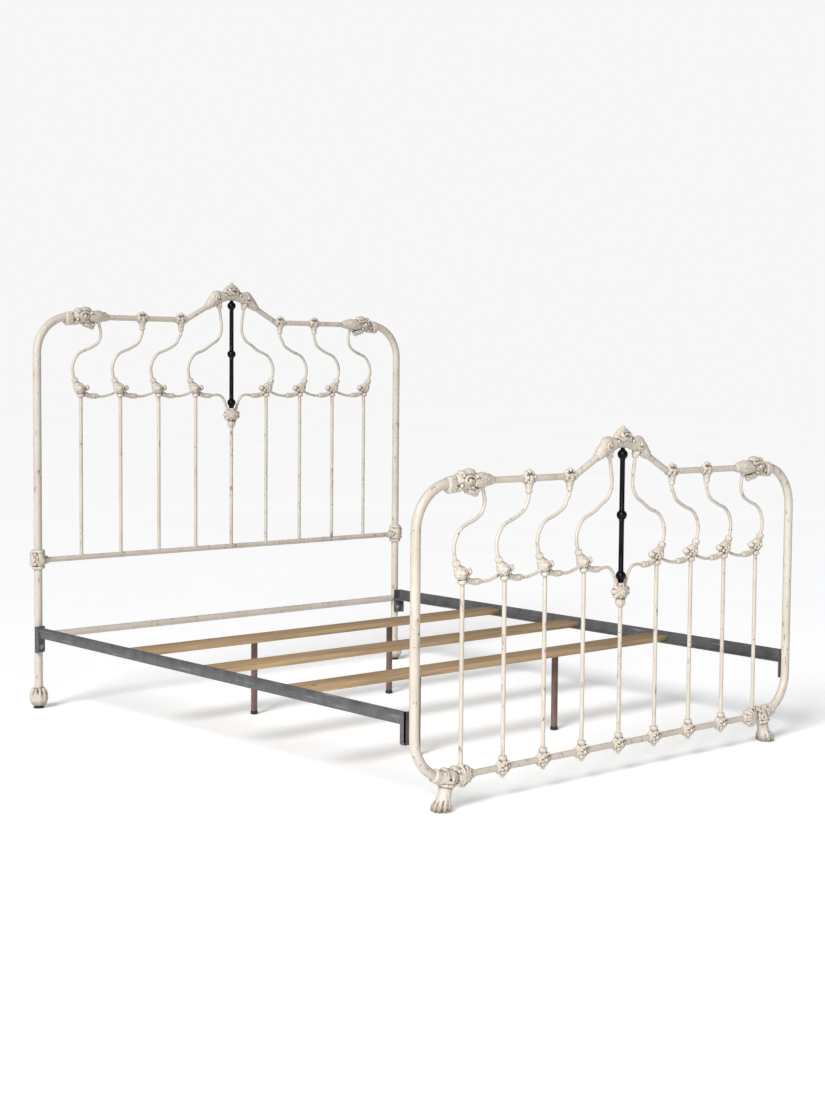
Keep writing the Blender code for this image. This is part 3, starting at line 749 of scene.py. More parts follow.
def saddle_casting(made):
    """The small crowned tee that holds a rod under the top rail."""
    arm = [
        (-0.0225, 0, 0.0112), (-0.02, 0, 0.0138), (-0.015, 0, 0.0128), (0.015, 0, 0.0128),
        (0.02, 0, 0.0138), (0.0225, 0, 0.0112),
    ]
    flat_tube(made, arm, 20)
    socket = [
        (0.004, 0.015, 0.0145), (-0.01, 0.016, 0.014), (-0.018, 0.0125, 0.0122),
        (-0.028, 0.01, 0.01), (-0.035, 0.0093, 0.0093), (-0.038, 0.01, 0.01),
        (-0.041, 0.0092, 0.0092),
    ]
    turned(made, socket, 20)
    for x, z, radius in ((0, 0.019, 0.0078), (-0.0125, 0.0145, 0.0068), (0.0125, 0.0145, 0.0068)):
        lump(made, (x, 0, z), (radius, radius * 1.1, radius))
    for front in (-1, 1):
        lump(made, (0, front * 0.0125, -0.001), (0.0085, 0.0042, 0.0115))
        for x in (-0.0125, 0.0125):
            bead(made, (x, front * 0.0118, 0.004), 0.0044)
            bead(made, (x * 0.75, front * 0.01, -0.011), 0.0036)


def junction_casting(made):
    """The branching knot between a bent rod, its spindle and its link. x = 0 is the spindle."""
    stem = [
        (0.0255, -0.2165, 0.0075), (0.0248, -0.2185, 0.0112), (0.024, -0.221, 0.0118),
        (0.0222, -0.227, 0.0112), (0.0195, -0.2315, 0.01), (0.014, -0.2405, 0.014),
        (0.007, -0.2525, 0.0158), (0.0015, -0.2635, 0.0148), (0, -0.2695, 0.0112),
        (0, -0.2735, 0.012), (0, -0.276, 0.0132), (0, -0.2815, 0.0132), (0, -0.2845, 0.0105),
    ]
    flat_tube(made, stem, 20)
    curl = [(0.004, -0.2565, 0.0085), (-0.01, -0.2555, 0.0088), (-0.019, -0.2535, 0.0086)]
    flat_tube(made, curve_through(curl, 3), 14)
    lump(made, (-0.0235, 0, -0.2515), (0.0105, 0.0095, 0.0098))
    bead(made, (-0.027, 0, -0.244), 0.0052)
    sleeve = [
        (-0.003, -0.264, 0.008), (-0.018, -0.2715, 0.0074), (-0.03, -0.2765, 0.0074),
        (-0.036, -0.279, 0.0088), (-0.041, -0.28, 0.0094), (-0.052, -0.2802, 0.0096),
        (-0.06, -0.28, 0.0098), (-0.0665, -0.28, 0.0078),
    ]
    flat_tube(made, sleeve, 18)
    lump(made, (-0.026, 0, -0.28), (0.013, 0.0085, 0.0058), 12)
    knot = (0.007, 0, -0.251)
    radii = (0.019, 0.017, 0.02)
    lump(made, knot, radii, 30)
    ridges_on(made, knot, radii, [scroll(-1.1, 60, 0.12, 0.78)], 0.0032, 30)
    ridges_on(made, knot, radii, rays(4, 120, 240, 0.6, 0.95), 0.003, 30)
    studs(
        made,
        (0.007, 0.0172, -0.251, 0.005),
        (-0.012, 0.01, -0.26, 0.005),
        (-0.0235, 0.0075, -0.2515, 0.0052),
        (-0.05, 0.008, -0.2785, 0.0042),
        (0.0215, 0.01, -0.2235, 0.0042),
    )
    bead(made, (0.016, 0, -0.266), 0.0058)
    bead(made, (0.024, 0, -0.24), 0.0056)


def rosette_casting(made):
    """A round, full-petalled flower with a bud under it, on the centre rod."""
    centre = Vector((0, 0, -0.3535))
    lump(made, centre, (0.032, 0.0195, 0.023))
    for index in range(9):
        angle = math.tau * (index + 0.5) / 9
        spot = centre + Vector((0.0275 * math.cos(angle), 0, 0.018 * math.sin(angle)))
        lump(made, spot, (0.01, 0.0105, 0.0075), math.degrees(angle))
    radii = (0.0325, 0.019, 0.0235)
    ridges_on(made, centre, radii, [scroll(1.2, 40, 0.15, 0.55)], 0.0028)
    ridges_on(made, centre, radii, rays(9, 10, 330, 0.62, 0.96), 0.0026)
    studs(made, (0, 0.0165, -0.3535, 0.006))
    collar = [(-0.3275, 0.0095), (-0.329, 0.0118), (-0.335, 0.0115), (-0.338, 0.01)]
    turned(made, collar, 16)
    bud = [
        (-0.372, 0.01, 0.009), (-0.378, 0.0125, 0.0105), (-0.385, 0.0165, 0.0135),
        (-0.3915, 0.0155, 0.013), (-0.3985, 0.0105, 0.01), (-0.4025, 0.0074, 0.0074),
    ]
    turned(made, curve_through(bud, 3), 36, lobes=6, lobe_depth=0.09)
    for x in (-0.011, 0.011):
        lump(made, (x, 0, -0.3805), (0.0068, 0.0088, 0.007))


def tee_casting(made):
    """The rough cross that holds a spindle on the bottom rail. z = 0 is the rail."""
    arm = [
        (-0.024, 0, 0.0108), (-0.022, 0, 0.0132), (-0.015, 0, 0.014), (0.015, 0, 0.014),
        (0.022, 0, 0.0132), (0.024, 0, 0.0108),
    ]
    flat_tube(made, arm, 18)
    upright = [
        (0.033, 0.0108), (0.0315, 0.0132), (0.024, 0.0132), (0.0205, 0.0115), (0.013, 0.016),
        (0.002, 0.0205), (-0.009, 0.019), (-0.017, 0.0125), (-0.022, 0.008), (-0.026, 0.006),
    ]
    flat_tube(made, [(0, z, width, min(width, 0.0165)) for z, width in upright], 20)
    bead(made, (0, 0, -0.026), 0.0062)
    knot = (0, 0, 0)
    radii = (0.0205, 0.0172, 0.0195)
    lump(made, knot, radii)
    ridges_on(made, knot, radii, rays(6, 20, 320, 0.35, 0.95), 0.0034)
    studs(
        made,
        (0, 0.0175, 0, 0.006),
        (0.0105, 0.012, 0.0145, 0.0048),
        (-0.0105, 0.012, -0.0135, 0.0048),
    )
    for x in (-0.0145, 0.0145):
        lump(made, (x, 0, 0.014), (0.007, 0.0085, 0.0066))
        lump(made, (x, 0, -0.0135), (0.0062, 0.008, 0.0062))


def foot_casting(made):
    """The lower corner: a ribbed shell, a knot round the post's end, and a claw foot."""
    shell = (0.623, 0, 0.09)
    radii = (0.033, 0.02, 0.03)
    lump(made, shell, radii)
    ridges_on(made, shell, radii, rays(8, 70, 290, 0.3, 0.97), 0.0032)
    sleeve = [
        (0.584, 0.09, 0.0118), (0.588, 0.09, 0.0145), (0.596, 0.09, 0.015), (0.612, 0.09, 0.019),
    ]
    flat_tube(made, sleeve, 18)
    socket = [
        (0.632, 0.1235, 0.009), (0.632, 0.1205, 0.0108), (0.632, 0.113, 0.0115),
        (0.632, 0.1, 0.016),
    ]
    flat_tube(made, socket, 16)
    knot = (0.676, 0, 0.0885)
    knot_radii = (0.034, 0.0215, 0.029)
    lump(made, knot, knot_radii)
    ridges_on(made, knot, knot_radii, [scroll(1.2, 30, 0.12, 0.8)], 0.0034)
    ridges_on(made, knot, knot_radii, rays(4, -150, -40, 0.55, 0.95), 0.0032)
    collar = [
        (0.69, 0.0925, 0.025), (0.706, 0.0965, 0.0215), (0.714, 0.0985, 0.0195),
        (0.72, 0.101, 0.0205), (0.728, 0.1048, 0.0205), (0.731, 0.1062, 0.0175),
    ]
    flat_tube(made, collar, 20)
    studs(
        made,
        (0.676, 0.0225, 0.0885, 0.0055),
        (0.652, 0.019, 0.108, 0.0052),
        (0.655, 0.0195, 0.07, 0.0055),
        (0.7, 0.018, 0.106, 0.0048),
    )
    lump(made, (0.655, 0, 0.112), (0.017, 0.014, 0.01), 10)
    lump(made, (0.69, 0, 0.114), (0.013, 0.013, 0.008), 25)
    lump(made, (0.625, 0, 0.063), (0.012, 0.01, 0.007))
    rings = [
        (0.682, 0.086, 0.0255), (0.6825, 0.083, 0.0275), (0.683, 0.079, 0.0265),
        (0.6835, 0.0765, 0.0235), (0.684, 0.0745, 0.0255), (0.6845, 0.071, 0.0265),
        (0.685, 0.068, 0.025), (0.6855, 0.066, 0.0215),
    ]
    flat_tube(made, rings, 28)
    ankle = [
        (0.684, 0.08, 0.0225, 0.02), (0.686, 0.062, 0.0205, 0.0195), (0.689, 0.048, 0.019, 0.0185),
        (0.693, 0.034, 0.021, 0.02), (0.697, 0.02, 0.0235, 0.0225), (0.699, 0.007, 0.0235, 0.0225),
        (0.699, 0.0018, 0.0225, 0.0215),
    ]
    flat_tube(made, curve_through(ankle, 3), 24)
    for index in range(7):
        angle = math.radians(-108 + 36 * index)
        away = Vector((math.cos(angle), math.sin(angle), 0))
        reach = 0.0255 if abs(angle) < 2 else 0.0225
        start = Vector((0.69, 0, 0)) + away * 0.0095
        end = Vector((0.7005, 0, 0)) + away * reach
        toe = [
            (*start.xy, 0.056, 0.0045), (*(start.lerp(end, 0.35)).xy, 0.034, 0.0062),
            (*(start.lerp(end, 0.75)).xy, 0.02, 0.0076), (*end.xy, 0.0098, 0.007),
        ]
        tube(made, curve_through(toe, 4), 12)
        knuckle = start.lerp(end, 0.82)
        bead(made, (knuckle.x, knuckle.y, 0.0165), 0.0082)
        bead(made, (end.x, end.y, 0.0078), 0.0063)


def knuckle_casting(made):
    """The collar of a headboard post. x = 0 is the post, z = 0 the cross rail."""
    barrel = [
        (0.0385, 0.0165), (0.0365, 0.0225), (0.031, 0.0245), (0.0275, 0.0225), (0.015, 0.0262),
        (0.0, 0.0275), (-0.013, 0.0255), (-0.02, 0.0215), (-0.0235, 0.0238), (-0.0285, 0.0225),
        (-0.031, 0.016),
    ]
    turned(made, barrel, 24, lobes=4, lobe_depth=0.06)
    flat_tube(
        made, [(-0.0395, 0, 0.0112), (-0.0375, 0, 0.014), (-0.031, 0, 0.014), (-0.015, 0, 0.0185)],
        16,
    )
    knot = (0, 0, 0.004)
    radii = (0.027, 0.0275, 0.029)
    ridges_on(made, knot, radii, [scroll(1.2, 90, 0.15, 0.8)], 0.0034)
    ridges_on(made, knot, radii, rays(5, 30, 330, 0.5, 0.92), 0.0028)
    for x, y in ((0.0235, 0.0), (0.019, 0.0145), (0.019, -0.0145)):
        bead(made, (x, y, 0.022), 0.006)
        bead(made, (x, y, -0.012), 0.006)


def ball_foot(made):
    """The fluted ball and leafy cup under a headboard post. x = 0 is the post, z = 0 the floor."""
    ball = [
        (0.0075, 0.0165), (0.009, 0.0195), (0.015, 0.0248), (0.0255, 0.0292), (0.038, 0.0303),
        (0.05, 0.0284), (0.06, 0.024), (0.0665, 0.0175),
    ]
    turned(made, curve_through(ball, 3), 60, lobes=10, lobe_depth=0.035)
    cup = [
        (0.06, 0.0225), (0.064, 0.019), (0.07, 0.016), (0.077, 0.0152), (0.084, 0.0152),
        (0.088, 0.0146),
    ]
    turned(made, cup, 24)
    for index in range(10):
        angle = math.tau * index / 10
        x = math.cos(angle)
        y = math.sin(angle)
        petal = [
            (0.018 * x, 0.018 * y, 0.0705, 0.0035), (0.0245 * x, 0.0245 * y, 0.061, 0.0048),
            (0.0275 * x, 0.0275 * y, 0.05, 0.0038), (0.0295 * x, 0.0295 * y, 0.041, 0.002),
        ]
        tube(made, petal, 10)


CASTINGS = {
    "corner": corner_casting,
    "crest": crest_casting,
    "saddle": saddle_casting,
    "junction": junction_casting,
    "rosette": rosette_casting,
    "tee": tee_casting,
    "foot": foot_casting,
    "knuckle": knuckle_casting,
    "ball": ball_foot,
}


def casting_named(name):
    key = f"casting:{name}"
    if key not in MADE:
        made = bmesh.new()
        CASTINGS[name](made)
        MADE[key] = cast(name, made, bpy.context.scene.bed_sizes.grain)
    return MADE[key]


def put_casting(name, casting, nodes, place):
    return piece(
        name, casting_named(casting), finish_named("casting_cream"), nodes, place,
    )


# Paths of the bent rods, in pitches beside spindle 0 and metres from the top rail


def rod_path(number):
    if number == 1:
        start = [
            (-0.66, 0.056), (-0.662, 0.044), (-0.69, 0.012), (-0.716, -0.018), (-0.695, -0.047),
            (-0.59, -0.073), (-0.43, -0.089),
        ]
    elif number == 4:
        start = [
            (-0.44, -0.014), (-0.475, -0.034), (-0.505, -0.055), (-0.48, -0.076), (-0.405, -0.094),
        ]
    else:
        offset = SADDLES[number] - number
        start = [(offset, -0.03), (offset, -0.05), (-0.53, -0.07), (-0.45, -0.09)]
    end = [(-0.23, -0.11), (0.015, -0.126), (0.15, -0.151), (0.205, -0.18), (0.187, -0.204)]
    return curve_through(start + end + [(0.155, -0.22)], 7)


def link_path(number):
    if number == 1:
        path = [
            (-0.4, -0.2795), (-0.45, -0.279), (-0.56, -0.2765), (-0.65, -0.278), (-0.72, -0.284),
            (-0.78, -0.2955), (-0.825, -0.311), (-0.855, -0.325), (-0.87, -0.34),
        ]
    else:
        path = [
            (-0.4, -0.2805), (-0.45, -0.2815), (-0.56, -0.281), (-0.68, -0.277), (-0.8, -0.271),
            (-0.93, -0.261),
        ]
    return curve_through(path, 5)


def beside(board, side, number, path, radius):
    """Stations of a bent rod on a board, from its path beside one spindle."""
    y = BOARD_Y[board]
    top = RAIL_TOP[board]
    return [(side * (number + x) * PITCH, y, top + z, radius) for x, z in path]


def knob(height, radius=0.0157):
    """Heights and radii of a round knob, from the top down."""
    angles = [math.radians(degrees) for degrees in range(60, -61, -12)]
    return [(height + radius * math.sin(angle), radius * math.cos(angle)) for angle in angles]


# Operators, one for each kind of piece


class BED_OT_posts(bpy.types.Operator):
    """The four bent posts, with the headboard's knuckles and ball feet"""

    bl_idname = "bed.posts"
    bl_label = "Posts"

    def execute(self, context):
        radius = context.scene.bed_sizes.post
        cream = finish_named("rod_cream")
        for board in BOARDS:
            top = RAIL_TOP[board]
            for side_name, side in SIDES.items():
                node = f"{board}_post_{side_name}"
                centre_x = POST_X - BEND
                path = [(0.665, top)] + arc((centre_x, top - BEND), BEND, 90, 0, 20)
                if board == "footboard":
                    path += arc((centre_x, LOWER_BEND_Z), BEND, 0, -62, 16)
                else:
                    path += [(POST_X, 0.5), (POST_X, 0.08)]
                stations = [(side * x, BOARD_Y[board], z, radius) for x, z in path]
                round_piece(f"{node}_tube", stations, cream, [node])
                if board == "headboard":
                    place = board_place(board, side, POST_X, CROSS_RAIL_Z)
                    put_casting(f"{node}_knuckle", "knuckle", [node], place)
                    put_casting(
                        f"{node}_ball_foot", "ball", [node], board_place(board, side, POST_X, 0),
                    )
        return {"FINISHED"}


class BED_OT_rails(bpy.types.Operator):
    """The top rails, the headboard's cross rail and stretcher, and the footboard's bottom rail"""

    bl_idname = "bed.rails"
    bl_label = "Rails"

    def execute(self, context):
        radius = context.scene.bed_sizes.rail
        cream = finish_named("rod_cream")
        rise = [
            (0.55, 0), (0.262, 0), (0.243, -0.002), (0.225, -0.0045), (0.207, -0.002),
            (0.19, 0.0065), (0.107, 0.0525), (0.092, 0.0608),
        ]
        for board in BOARDS:
            y = BOARD_Y[board]
            for side_name, side in SIDES.items():
                node = f"{board}_top_rail_{side_name}"
                rising = curve_through(rise, 4)
                path = [(side * x, y, RAIL_TOP[board] + z, radius) for x, z in rising]
                round_piece(f"{node}_tube", path, cream, [node])
        head = BOARD_Y["headboard"]
        for node, z, size in (
            ("headboard_cross_rail", CROSS_RAIL_Z, radius),
            ("headboard_bottom_stretcher", STRETCHER_Z, STRETCHER_RADIUS),
        ):
            low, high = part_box(node)
            path = [(low.x, head, z, size), (0, head, z, size), (high.x, head, z, size)]
            round_piece(f"{node}_tube", path, cream, [node])
        foot = BOARD_Y["footboard"]
        low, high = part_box("footboard_bottom_rail")
        path = [(low.x, foot, BOTTOM_RAIL_Z, radius), (high.x, foot, BOTTOM_RAIL_Z, radius)]
        round_piece(
            "footboard_bottom_rail_tube", path, cream, ["footboard_bottom_rail"],
        )
        return {"FINISHED"}


class BED_OT_spindles(bpy.types.Operator):
    """The branching spindles: straight rods, bent tops, junctions, saddles and links"""

    bl_idname = "bed.spindles"
    bl_label = "Branching spindles"

    def execute(self, context):
        sizes = context.scene.bed_sizes
        cream = finish_named("rod_cream")
        for board in BOARDS:
            ends = (RAIL_TOP[board] - 0.272, ROD_END[board])
            for side_name, side in SIDES.items():
                for number in range(1, 5):
                    node = f"{board}_branch_spindle_{side_name}_{number}"
                    bent = beside(board, side, number, rod_path(number), sizes.bent)
                    round_piece(f"{node}_bent_rod", bent, cream, [node], 18)
                    x = side * number * PITCH
                    straight = [(x, BOARD_Y[board], z, sizes.rod) for z in ends]
                    round_piece(f"{node}_straight_rod", straight, cream, [node], 18)
                    link = beside(board, side, number, link_path(number), sizes.link)
                    round_piece(f"{node}_link", link, cream, [node], 14)
                    place = board_place(board, side, number * PITCH)
                    put_casting(f"{node}_junction", "junction", [node], place)
                    if number in SADDLES:
                        place = board_place(board, side, SADDLES[number] * PITCH)
                        put_casting(f"{node}_saddle", "saddle", [node], place)
        return {"FINISHED"}


class BED_OT_centre(bpy.types.Operator):
    """The black centre rods with their knobs, and the rosettes and rods under them"""

    bl_idname = "bed.centre"
    bl_label = "Centre rods"

    def execute(self, context):
        sizes = context.scene.bed_sizes
        for board in BOARDS:
            y = BOARD_Y[board]
            top = RAIL_TOP[board]
            turning = [(0.0805, 0.004), (0.0785, 0.0044), (0.077, 0.0062)]
            turning += knob(0.058) + [(0.042, 0.0088), (0.0405, 0.0078)]
            turning += [(-0.106, 0.0078), (-0.1075, 0.0088)]
            turning += knob(-0.124) + [(-0.1405, 0.0088), (-0.142, 0.0078)]
            turning += [(-0.2885, 0.0078), (-0.29, 0.0088)] + knob(-0.307)
            turning += [(-0.3205, 0.0108), (-0.3262, 0.009), (-0.329, 0.0088)]
            node = f"{board}_black_spindle"
            stations = [(0, y, top + z, radius) for z, radius in turning]
            round_piece(
                f"{node}_turned", stations, finish_named("black_enamel"), [node], 32,
            )
            node = f"{board}_rosette_spindle"
            rod = [(0, y, z, sizes.rod) for z in (top - 0.395, ROD_END[board])]
            round_piece(f"{node}_rod", rod, finish_named("rod_cream"), [node], 18)
            put_casting(f"{node}_rosette", "rosette", [node], board_place(board))
        return {"FINISHED"}


class BED_OT_castings(bpy.types.Operator):
    """The corner castings, crests, tees and claw feet"""

    bl_idname = "bed.castings"
    bl_label = "Castings"

    def execute(self, context):
        for board in BOARDS:
            for side_name, side in SIDES.items():
                node = f"{board}_corner_casting_{side_name}"
                put_casting(f"{node}_leaf", "corner", [node], board_place(board, side))
            node = f"{board}_crest_casting"
            put_casting(f"{node}_leaf", "crest", [node], board_place(board))
        for side_name, side in SIDES.items():
            node = f"footboard_foot_casting_{side_name}"
            put_casting(f"{node}_claw", "foot", [node], board_place("footboard", side, height=0))
        for number in range(-3, 4):
            place = board_place("footboard", 1, number * PITCH, BOTTOM_RAIL_Z)
            put_casting(
                f"footboard_bottom_rail_tee_{number + 4}", "tee", ["footboard_bottom_rail"], place,
            )
        return {"FINISHED"}


def soft_box(made, low, high, bevel):
    """Adds a box between two corners with rounded edges."""
    size = Vector(high) - Vector(low)
    centre = (Vector(high) + Vector(low)) / 2
    place = Matrix.Translation(centre) @ Matrix.Diagonal((*size, 1))
    verts = bmesh.ops.create_cube(made, size=1, matrix=place)["verts"]
    edges = list({edge for vert in verts for edge in vert.link_edges})
    bmesh.ops.bevel(made, geom=edges, offset=bevel, segments=2, affect="EDGES", profile=0.5)


def box_piece(node, suffix, bevel, finish, body=BODY):
    """A rounded box in place of a CAD node."""
    made = bmesh.new()
    low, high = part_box(node)
    soft_box(made, low, high, bevel)
    mesh = mesh_of(node, made)
    smooth_under(mesh, FLAT_SHARP)
    return piece(f"{node}_{suffix}", mesh, finish_named(finish), [node], body=body)


def upright_prism(made, outline, low, high, axis):
    """Adds a prism of an outline in the other two axes, between two values along the axis."""
    order = {"x": (2, 0, 1), "y": (0, 2, 1)}[axis]
    rings = []
    for value in (low, high):
        ring = []
        for first, second in outline:
            spot = (first, second, value)
            ring.append(made.verts.new([spot[index] for index in order]))
        rings.append(ring)
    for index in range(len(outline)):
        after = (index + 1) % len(outline)
        made.faces.new((rings[0][index], rings[0][after], rings[1][after], rings[1][index]))
    for ring in rings:
        made.faces.new(ring)


def corner(edge, into, low):
    """Points down and round a plate's lower corner, from its edge and in one direction."""
    made = []
    for step in range(7):
        angle = math.radians(90 * step / 6)
        across = PLATE_ROUND - PLATE_ROUND * math.cos(angle)
        made.append((edge + into * across, low + PLATE_ROUND - PLATE_ROUND * math.sin(angle)))
    return made


class BED_OT_side_rails(bpy.types.Operator):
    """The angle side rails, their brackets and bolts"""

    bl_idname = "bed.side_rails"
    bl_label = "Side rails"

    def execute(self, context):
        steel = finish_named("rail_paint")
        wall = STEEL_WALL
        lip = RAIL_LIP
        for side_name, side in SIDES.items():
            node = f"side_rail_{side_name}"
            low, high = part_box(node)
            outer = high.x if side > 0 else low.x
            leg = high.x - low.x
            inside = outer - side * wall
            profile = [
                (outer, low.z + lip),
                (outer, high.z - lip),
                (outer - side * lip, high.z),
                (inside + side * lip, high.z),
                (inside, high.z - lip),
                (inside, low.z + wall + 3 * lip),
                (inside - side * lip, low.z + wall + lip),
                (inside - side * 3 * lip, low.z + wall),
                (outer - side * (leg - lip), low.z + wall),
                (outer - side * leg, low.z + wall - lip),
                (outer - side * leg, low.z + lip),
                (outer - side * (leg - lip), low.z),
                (outer - side * lip, low.z),
            ]
            made = bmesh.new()
            upright_prism(made, profile, low.y, high.y, "y")
            mesh = mesh_of(node, made)
            smooth_under(mesh, ROUND_SHARP)
            piece(f"{node}_angle", mesh, steel, [node])
            for end in ("head", "foot"):
                self.bracket(end, side_name, side, steel)
        return {"FINISHED"}

    def bracket(self, end, side_name, side, steel):
        node = f"rail_bracket_{end}_{side_name}"
        low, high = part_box(node)
        inwards = -1 if end == "head" else 1
        face = high.y if end == "head" else low.y
        outer = high.x if side > 0 else low.x
        inner = outer - side * (high.x - low.x)
        far = face + inwards * (high.y - low.y)
        made = bmesh.new()
        outline = [(outer, high.z), (outer, low.z + PLATE_ROUND)]
        outline += corner(outer, -side, low.z) + corner(inner, side, low.z)[::-1]
        outline += [(inner, high.z)]
        upright_prism(made, outline, face, face + inwards * STEEL_WALL, "y")
        outline = [(face, high.z), (face, low.z)]
        outline += corner(far, -inwards, low.z)[::-1] + [(far, high.z)]
        upright_prism(made, outline, outer, outer - side * STEEL_WALL, "x")
        mesh = mesh_of(node, made)
        mesh.set_sharp_from_angle(angle=math.radians(FLAT_SHARP))
        piece(f"{node}_plate", mesh, steel, [node])
        self.bolt(end, side_name, face + inwards * STEEL_WALL, inwards)

    def bolt(self, end, side_name, face, inwards):
        node = f"bracket_bolt_{end}_{side_name}"
        centre = middle(node)
        made = bmesh.new()
        washer = [
            (face, 0.0086), (face + inwards * 0.001, 0.009), (face + inwards * 0.0014, 0.0084),
        ]
        tube(made, [(centre.x, y, centre.z, radius) for y, radius in washer], 28)
        head = [(0.0014, 0.0072), (0.0016, 0.0075), (0.005, 0.0075), (0.0058, 0.0066)]
        tube(made, [(centre.x, face + inwards * y, centre.z, radius) for y, radius in head], 6)
        mesh = mesh_of(node, made)
        mesh.set_sharp_from_angle(angle=math.radians(HEX_SHARP))
        piece(f"{node}_hex", mesh, finish_named("dull_zinc"), [node])


class BED_OT_slats(bpy.types.Operator):
    """The wooden slats, their screws, and the square legs under them"""

    bl_idname = "bed.slats"
    bl_label = "Slats and legs"

    def execute(self, context):
        for place in ("foot", "middle", "head"):
            slat = f"slat_{place}"
            box_piece(slat, "board", 0.0022, "slat_wood")
            low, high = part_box(slat)
            made = bmesh.new()
            for x in (low.x + 0.022, high.x - 0.022):
                for y in (low.y + 0.022, high.y - 0.022):
                    head = ((-0.001, 0.0048), (0.0004, 0.0048), (0.001, 0.0036))
                    tube(made, [(x, y, high.z + rise, radius) for rise, radius in head], 16)
            mesh = mesh_of(f"{slat}_screws", made)
            mesh.set_sharp_from_angle(angle=math.radians(HEX_SHARP))
            piece(f"{slat}_screws", mesh, finish_named("dull_zinc"), [])
        for place in ("foot", "head"):
            for side_name in SIDES:
                node = f"slat_leg_{place}_{side_name}"
                box_piece(node, "square", 0.0015, "leg_paint")
                low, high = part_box(node)
                made = bmesh.new()
                soft_box(
                    made,
                    (low.x - CAP_WALL, low.y - CAP_WALL, 0.0),
                    (high.x + CAP_WALL, high.y + CAP_WALL, CAP_HEIGHT),
                    0.001,
                )
                mesh = mesh_of(f"{node}_cap", made)
                piece(f"{node}_cap", mesh, finish_named("glide_plastic"), [])
        return {"FINISHED"}


class BED_OT_glides(bpy.types.Operator):
    """The screw glides under the headboard's ball feet"""

    bl_idname = "bed.glides"
    bl_label = "Levelling glides"

    def execute(self, context):
        for side_name in SIDES:
            node = f"headboard_glide_pad_{side_name}"
            low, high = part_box(node)
            centre = (low + high) / 2
            radius = (high.x - low.x) / 2
            rise = high.z - low.z
            profile = [
                (0, radius - 0.002), (0.0008, radius - 0.0004), (0.0018, radius),
                (0.0036, radius - 0.0004), (0.0044, radius - 0.002), (rise, radius - 0.0065),
            ]
            made = bmesh.new()
            tube(made, [(centre.x, centre.y, low.z + z, size) for z, size in profile], 40)
            mesh = mesh_of(node, made)
            smooth_under(mesh, ROUND_SHARP)
            body = f"glide_pad_{side_name}"
            piece(
                f"{node}_disc", mesh, finish_named("glide_plastic"), [node],
                body=body,
            )
            self.stem(side_name)
        return {"FINISHED"}

    def stem(self, side_name):
        node = f"headboard_glide_stem_{side_name}"
        low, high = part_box(node)
        centre = (low + high) / 2
        made = bmesh.new()
        turns = int((high.z - low.z) / THREAD_LEAD)
        stations = []
        for step in range(turns * 4):
            z = low.z + THREAD_LEAD * step / 4
            stations.append((centre.x, centre.y, z, 0.004 if step % 4 < 2 else 0.0034))
        tube(made, stations, 20)
        mesh = mesh_of(node, made)
        mesh.shade_smooth()
        body = f"glide_stem_{side_name}"
        piece(f"{node}_thread", mesh, finish_named("dull_zinc"), [node], body=body)


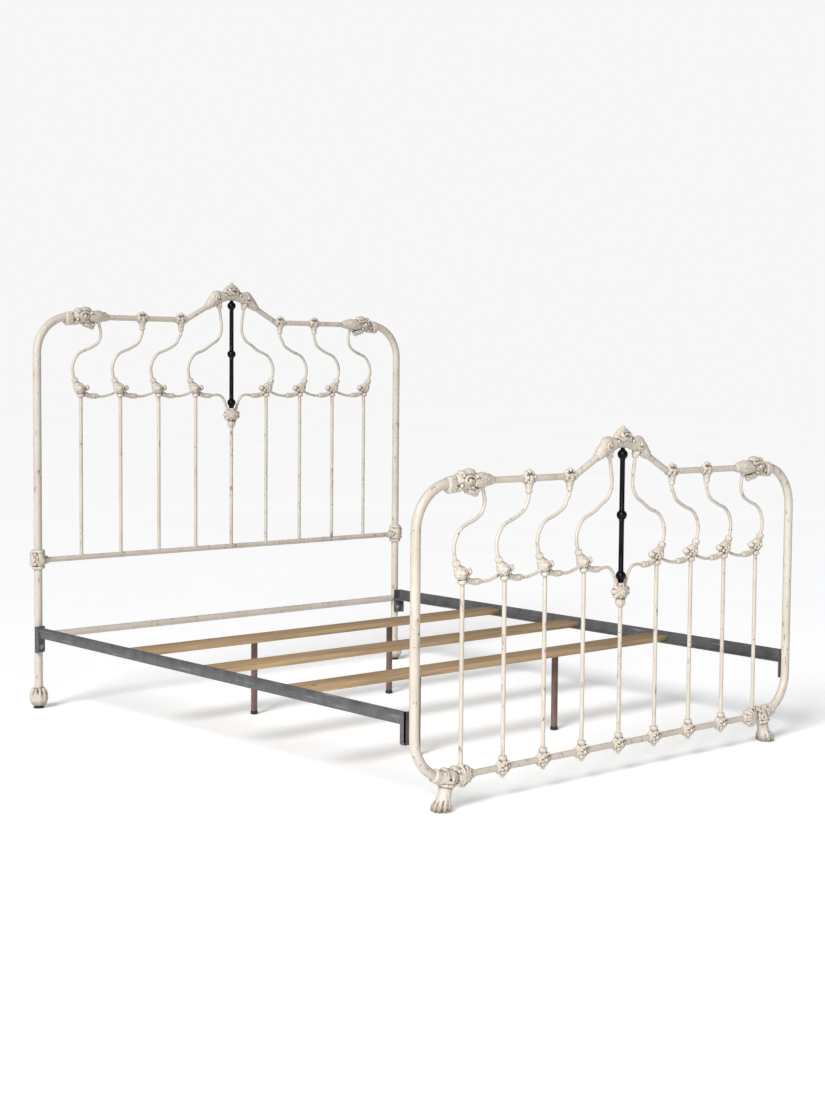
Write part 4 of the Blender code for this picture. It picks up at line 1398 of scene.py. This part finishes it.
class BED_OT_stage(bpy.types.Operator):
    """Floor, light and camera"""

    bl_idname = "bed.stage"
    bl_label = "Stage"

    def execute(self, context):
        self.floor()
        self.lights()
        self.camera(context)
        return {"FINISHED"}

    def floor(self):
        made = bmesh.new()
        bmesh.ops.create_grid(made, x_segments=2, y_segments=2, size=30)
        mesh = mesh_of("floor", made)
        finish = Finish("floor_white")
        cloudy = finish.ramp(finish.noise(0.6), 0.3, 0.7)
        finish.paint(finish.mix(cloudy, (0.83, 0.83, 0.83), (0.86, 0.86, 0.86)))
        finish.shader.inputs["Roughness"].default_value = 0.9
        finish.shader.inputs["Emission Color"].default_value = (1, 1, 1, 1)
        finish.shader.inputs["Emission Strength"].default_value = 0.29
        mesh.materials.append(finish.material)
        floor = bpy.data.objects.new("floor", mesh)
        floor.location.z = -FLOOR_DROP
        bpy.context.scene.collection.objects.link(floor)

    def lights(self):
        world = bpy.data.worlds.new("studio")
        bpy.context.scene.world = world
        world.use_nodes = True
        tree = world.node_tree
        soft = tree.nodes["Background"]
        soft.inputs["Color"].default_value = (0.97, 0.98, 1.0, 1)
        soft.inputs["Strength"].default_value = 0.12
        paper = tree.nodes.new("ShaderNodeBackground")
        paper.inputs["Color"].default_value = (0.93, 0.93, 0.93, 1)
        seen = tree.nodes.new("ShaderNodeLightPath")
        either = tree.nodes.new("ShaderNodeMixShader")
        tree.links.new(seen.outputs["Is Camera Ray"], either.inputs["Fac"])
        tree.links.new(soft.outputs["Background"], either.inputs[1])
        tree.links.new(paper.outputs["Background"], either.inputs[2])
        tree.links.new(either.outputs["Shader"], tree.nodes["World Output"].inputs["Surface"])
        aim = Vector(LAMPS_AIM)
        sun = bpy.data.lights.new("window", "SUN")
        sun.energy = 3.4
        sun.angle = math.radians(22)
        key = bpy.data.lights.new("key", "AREA")
        key.size = 2.2
        key.energy = 100
        for lamp, place in ((sun, (-4.2, -1.6, 4.2)), (key, (-3.4, -3.9, 2.2))):
            made = bpy.data.objects.new(lamp.name, lamp)
            made.location = place
            made.rotation_euler = (aim - Vector(place)).to_track_quat("-Z", "Y").to_euler()
            bpy.context.scene.collection.objects.link(made)

    def camera(self, context):
        lens = bpy.data.cameras.new("camera")
        lens.sensor_fit = "VERTICAL"
        lens.sensor_height = 36
        lens.lens = 58.83
        lens.shift_x = -0.1523
        lens.shift_y = -0.0636
        lens.clip_end = 200
        camera = bpy.data.objects.new("camera", lens)
        camera.location = CAMERA_PLACE
        pitch = math.radians(CAMERA_DOWN)
        yaw = math.radians(CAMERA_YAW)
        roll = math.radians(CAMERA_ROLL)
        level = math.cos(pitch)
        ahead = Vector((math.sin(yaw) * level, math.cos(yaw) * level, -math.sin(pitch)))
        across = Vector((math.cos(yaw), -math.sin(yaw), 0))
        up = across.cross(ahead)
        right = across * math.cos(roll) + up * math.sin(roll)
        above = up * math.cos(roll) - across * math.sin(roll)
        turn = Matrix((right, above, -ahead)).transposed()
        camera.rotation_euler = turn.to_euler()
        context.scene.collection.objects.link(camera)
        context.scene.camera = camera
        context.scene.view_settings.view_transform = "Standard"


OPERATORS = (
    BED_OT_posts,
    BED_OT_rails,
    BED_OT_spindles,
    BED_OT_centre,
    BED_OT_castings,
    BED_OT_side_rails,
    BED_OT_slats,
    BED_OT_glides,
    BED_OT_stage,
)


class BED_PT_panel(bpy.types.Panel):
    """Lists the bed's sizes, finishes and pieces"""

    bl_idname = "BED_PT_panel"
    bl_label = "Iron bed frame"
    bl_space_type = "VIEW_3D"
    bl_region_type = "UI"
    bl_category = "Bed"

    def draw(self, context):
        for group in (context.scene.bed_sizes, context.scene.bed_finish):
            column = self.layout.column()
            for name in group.bl_rna.properties.keys()[2:]:
                column.prop(group, name)
        for operator in OPERATORS:
            self.layout.operator(operator.bl_idname)


CLASSES = (BedSizes, BedFinish, *OPERATORS, BED_PT_panel)


def register():
    for item in CLASSES:
        bpy.utils.register_class(item)
    bpy.types.Scene.bed_sizes = bpy.props.PointerProperty(type=BedSizes)
    bpy.types.Scene.bed_finish = bpy.props.PointerProperty(type=BedFinish)


def unregister():
    del bpy.types.Scene.bed_finish
    del bpy.types.Scene.bed_sizes
    for item in reversed(CLASSES):
        bpy.utils.unregister_class(item)


def main():
    register()
    for operator in OPERATORS:
        group, name = operator.bl_idname.split(".")
        getattr(getattr(bpy.ops, group), name)()


if __name__ == "__main__":
    main()
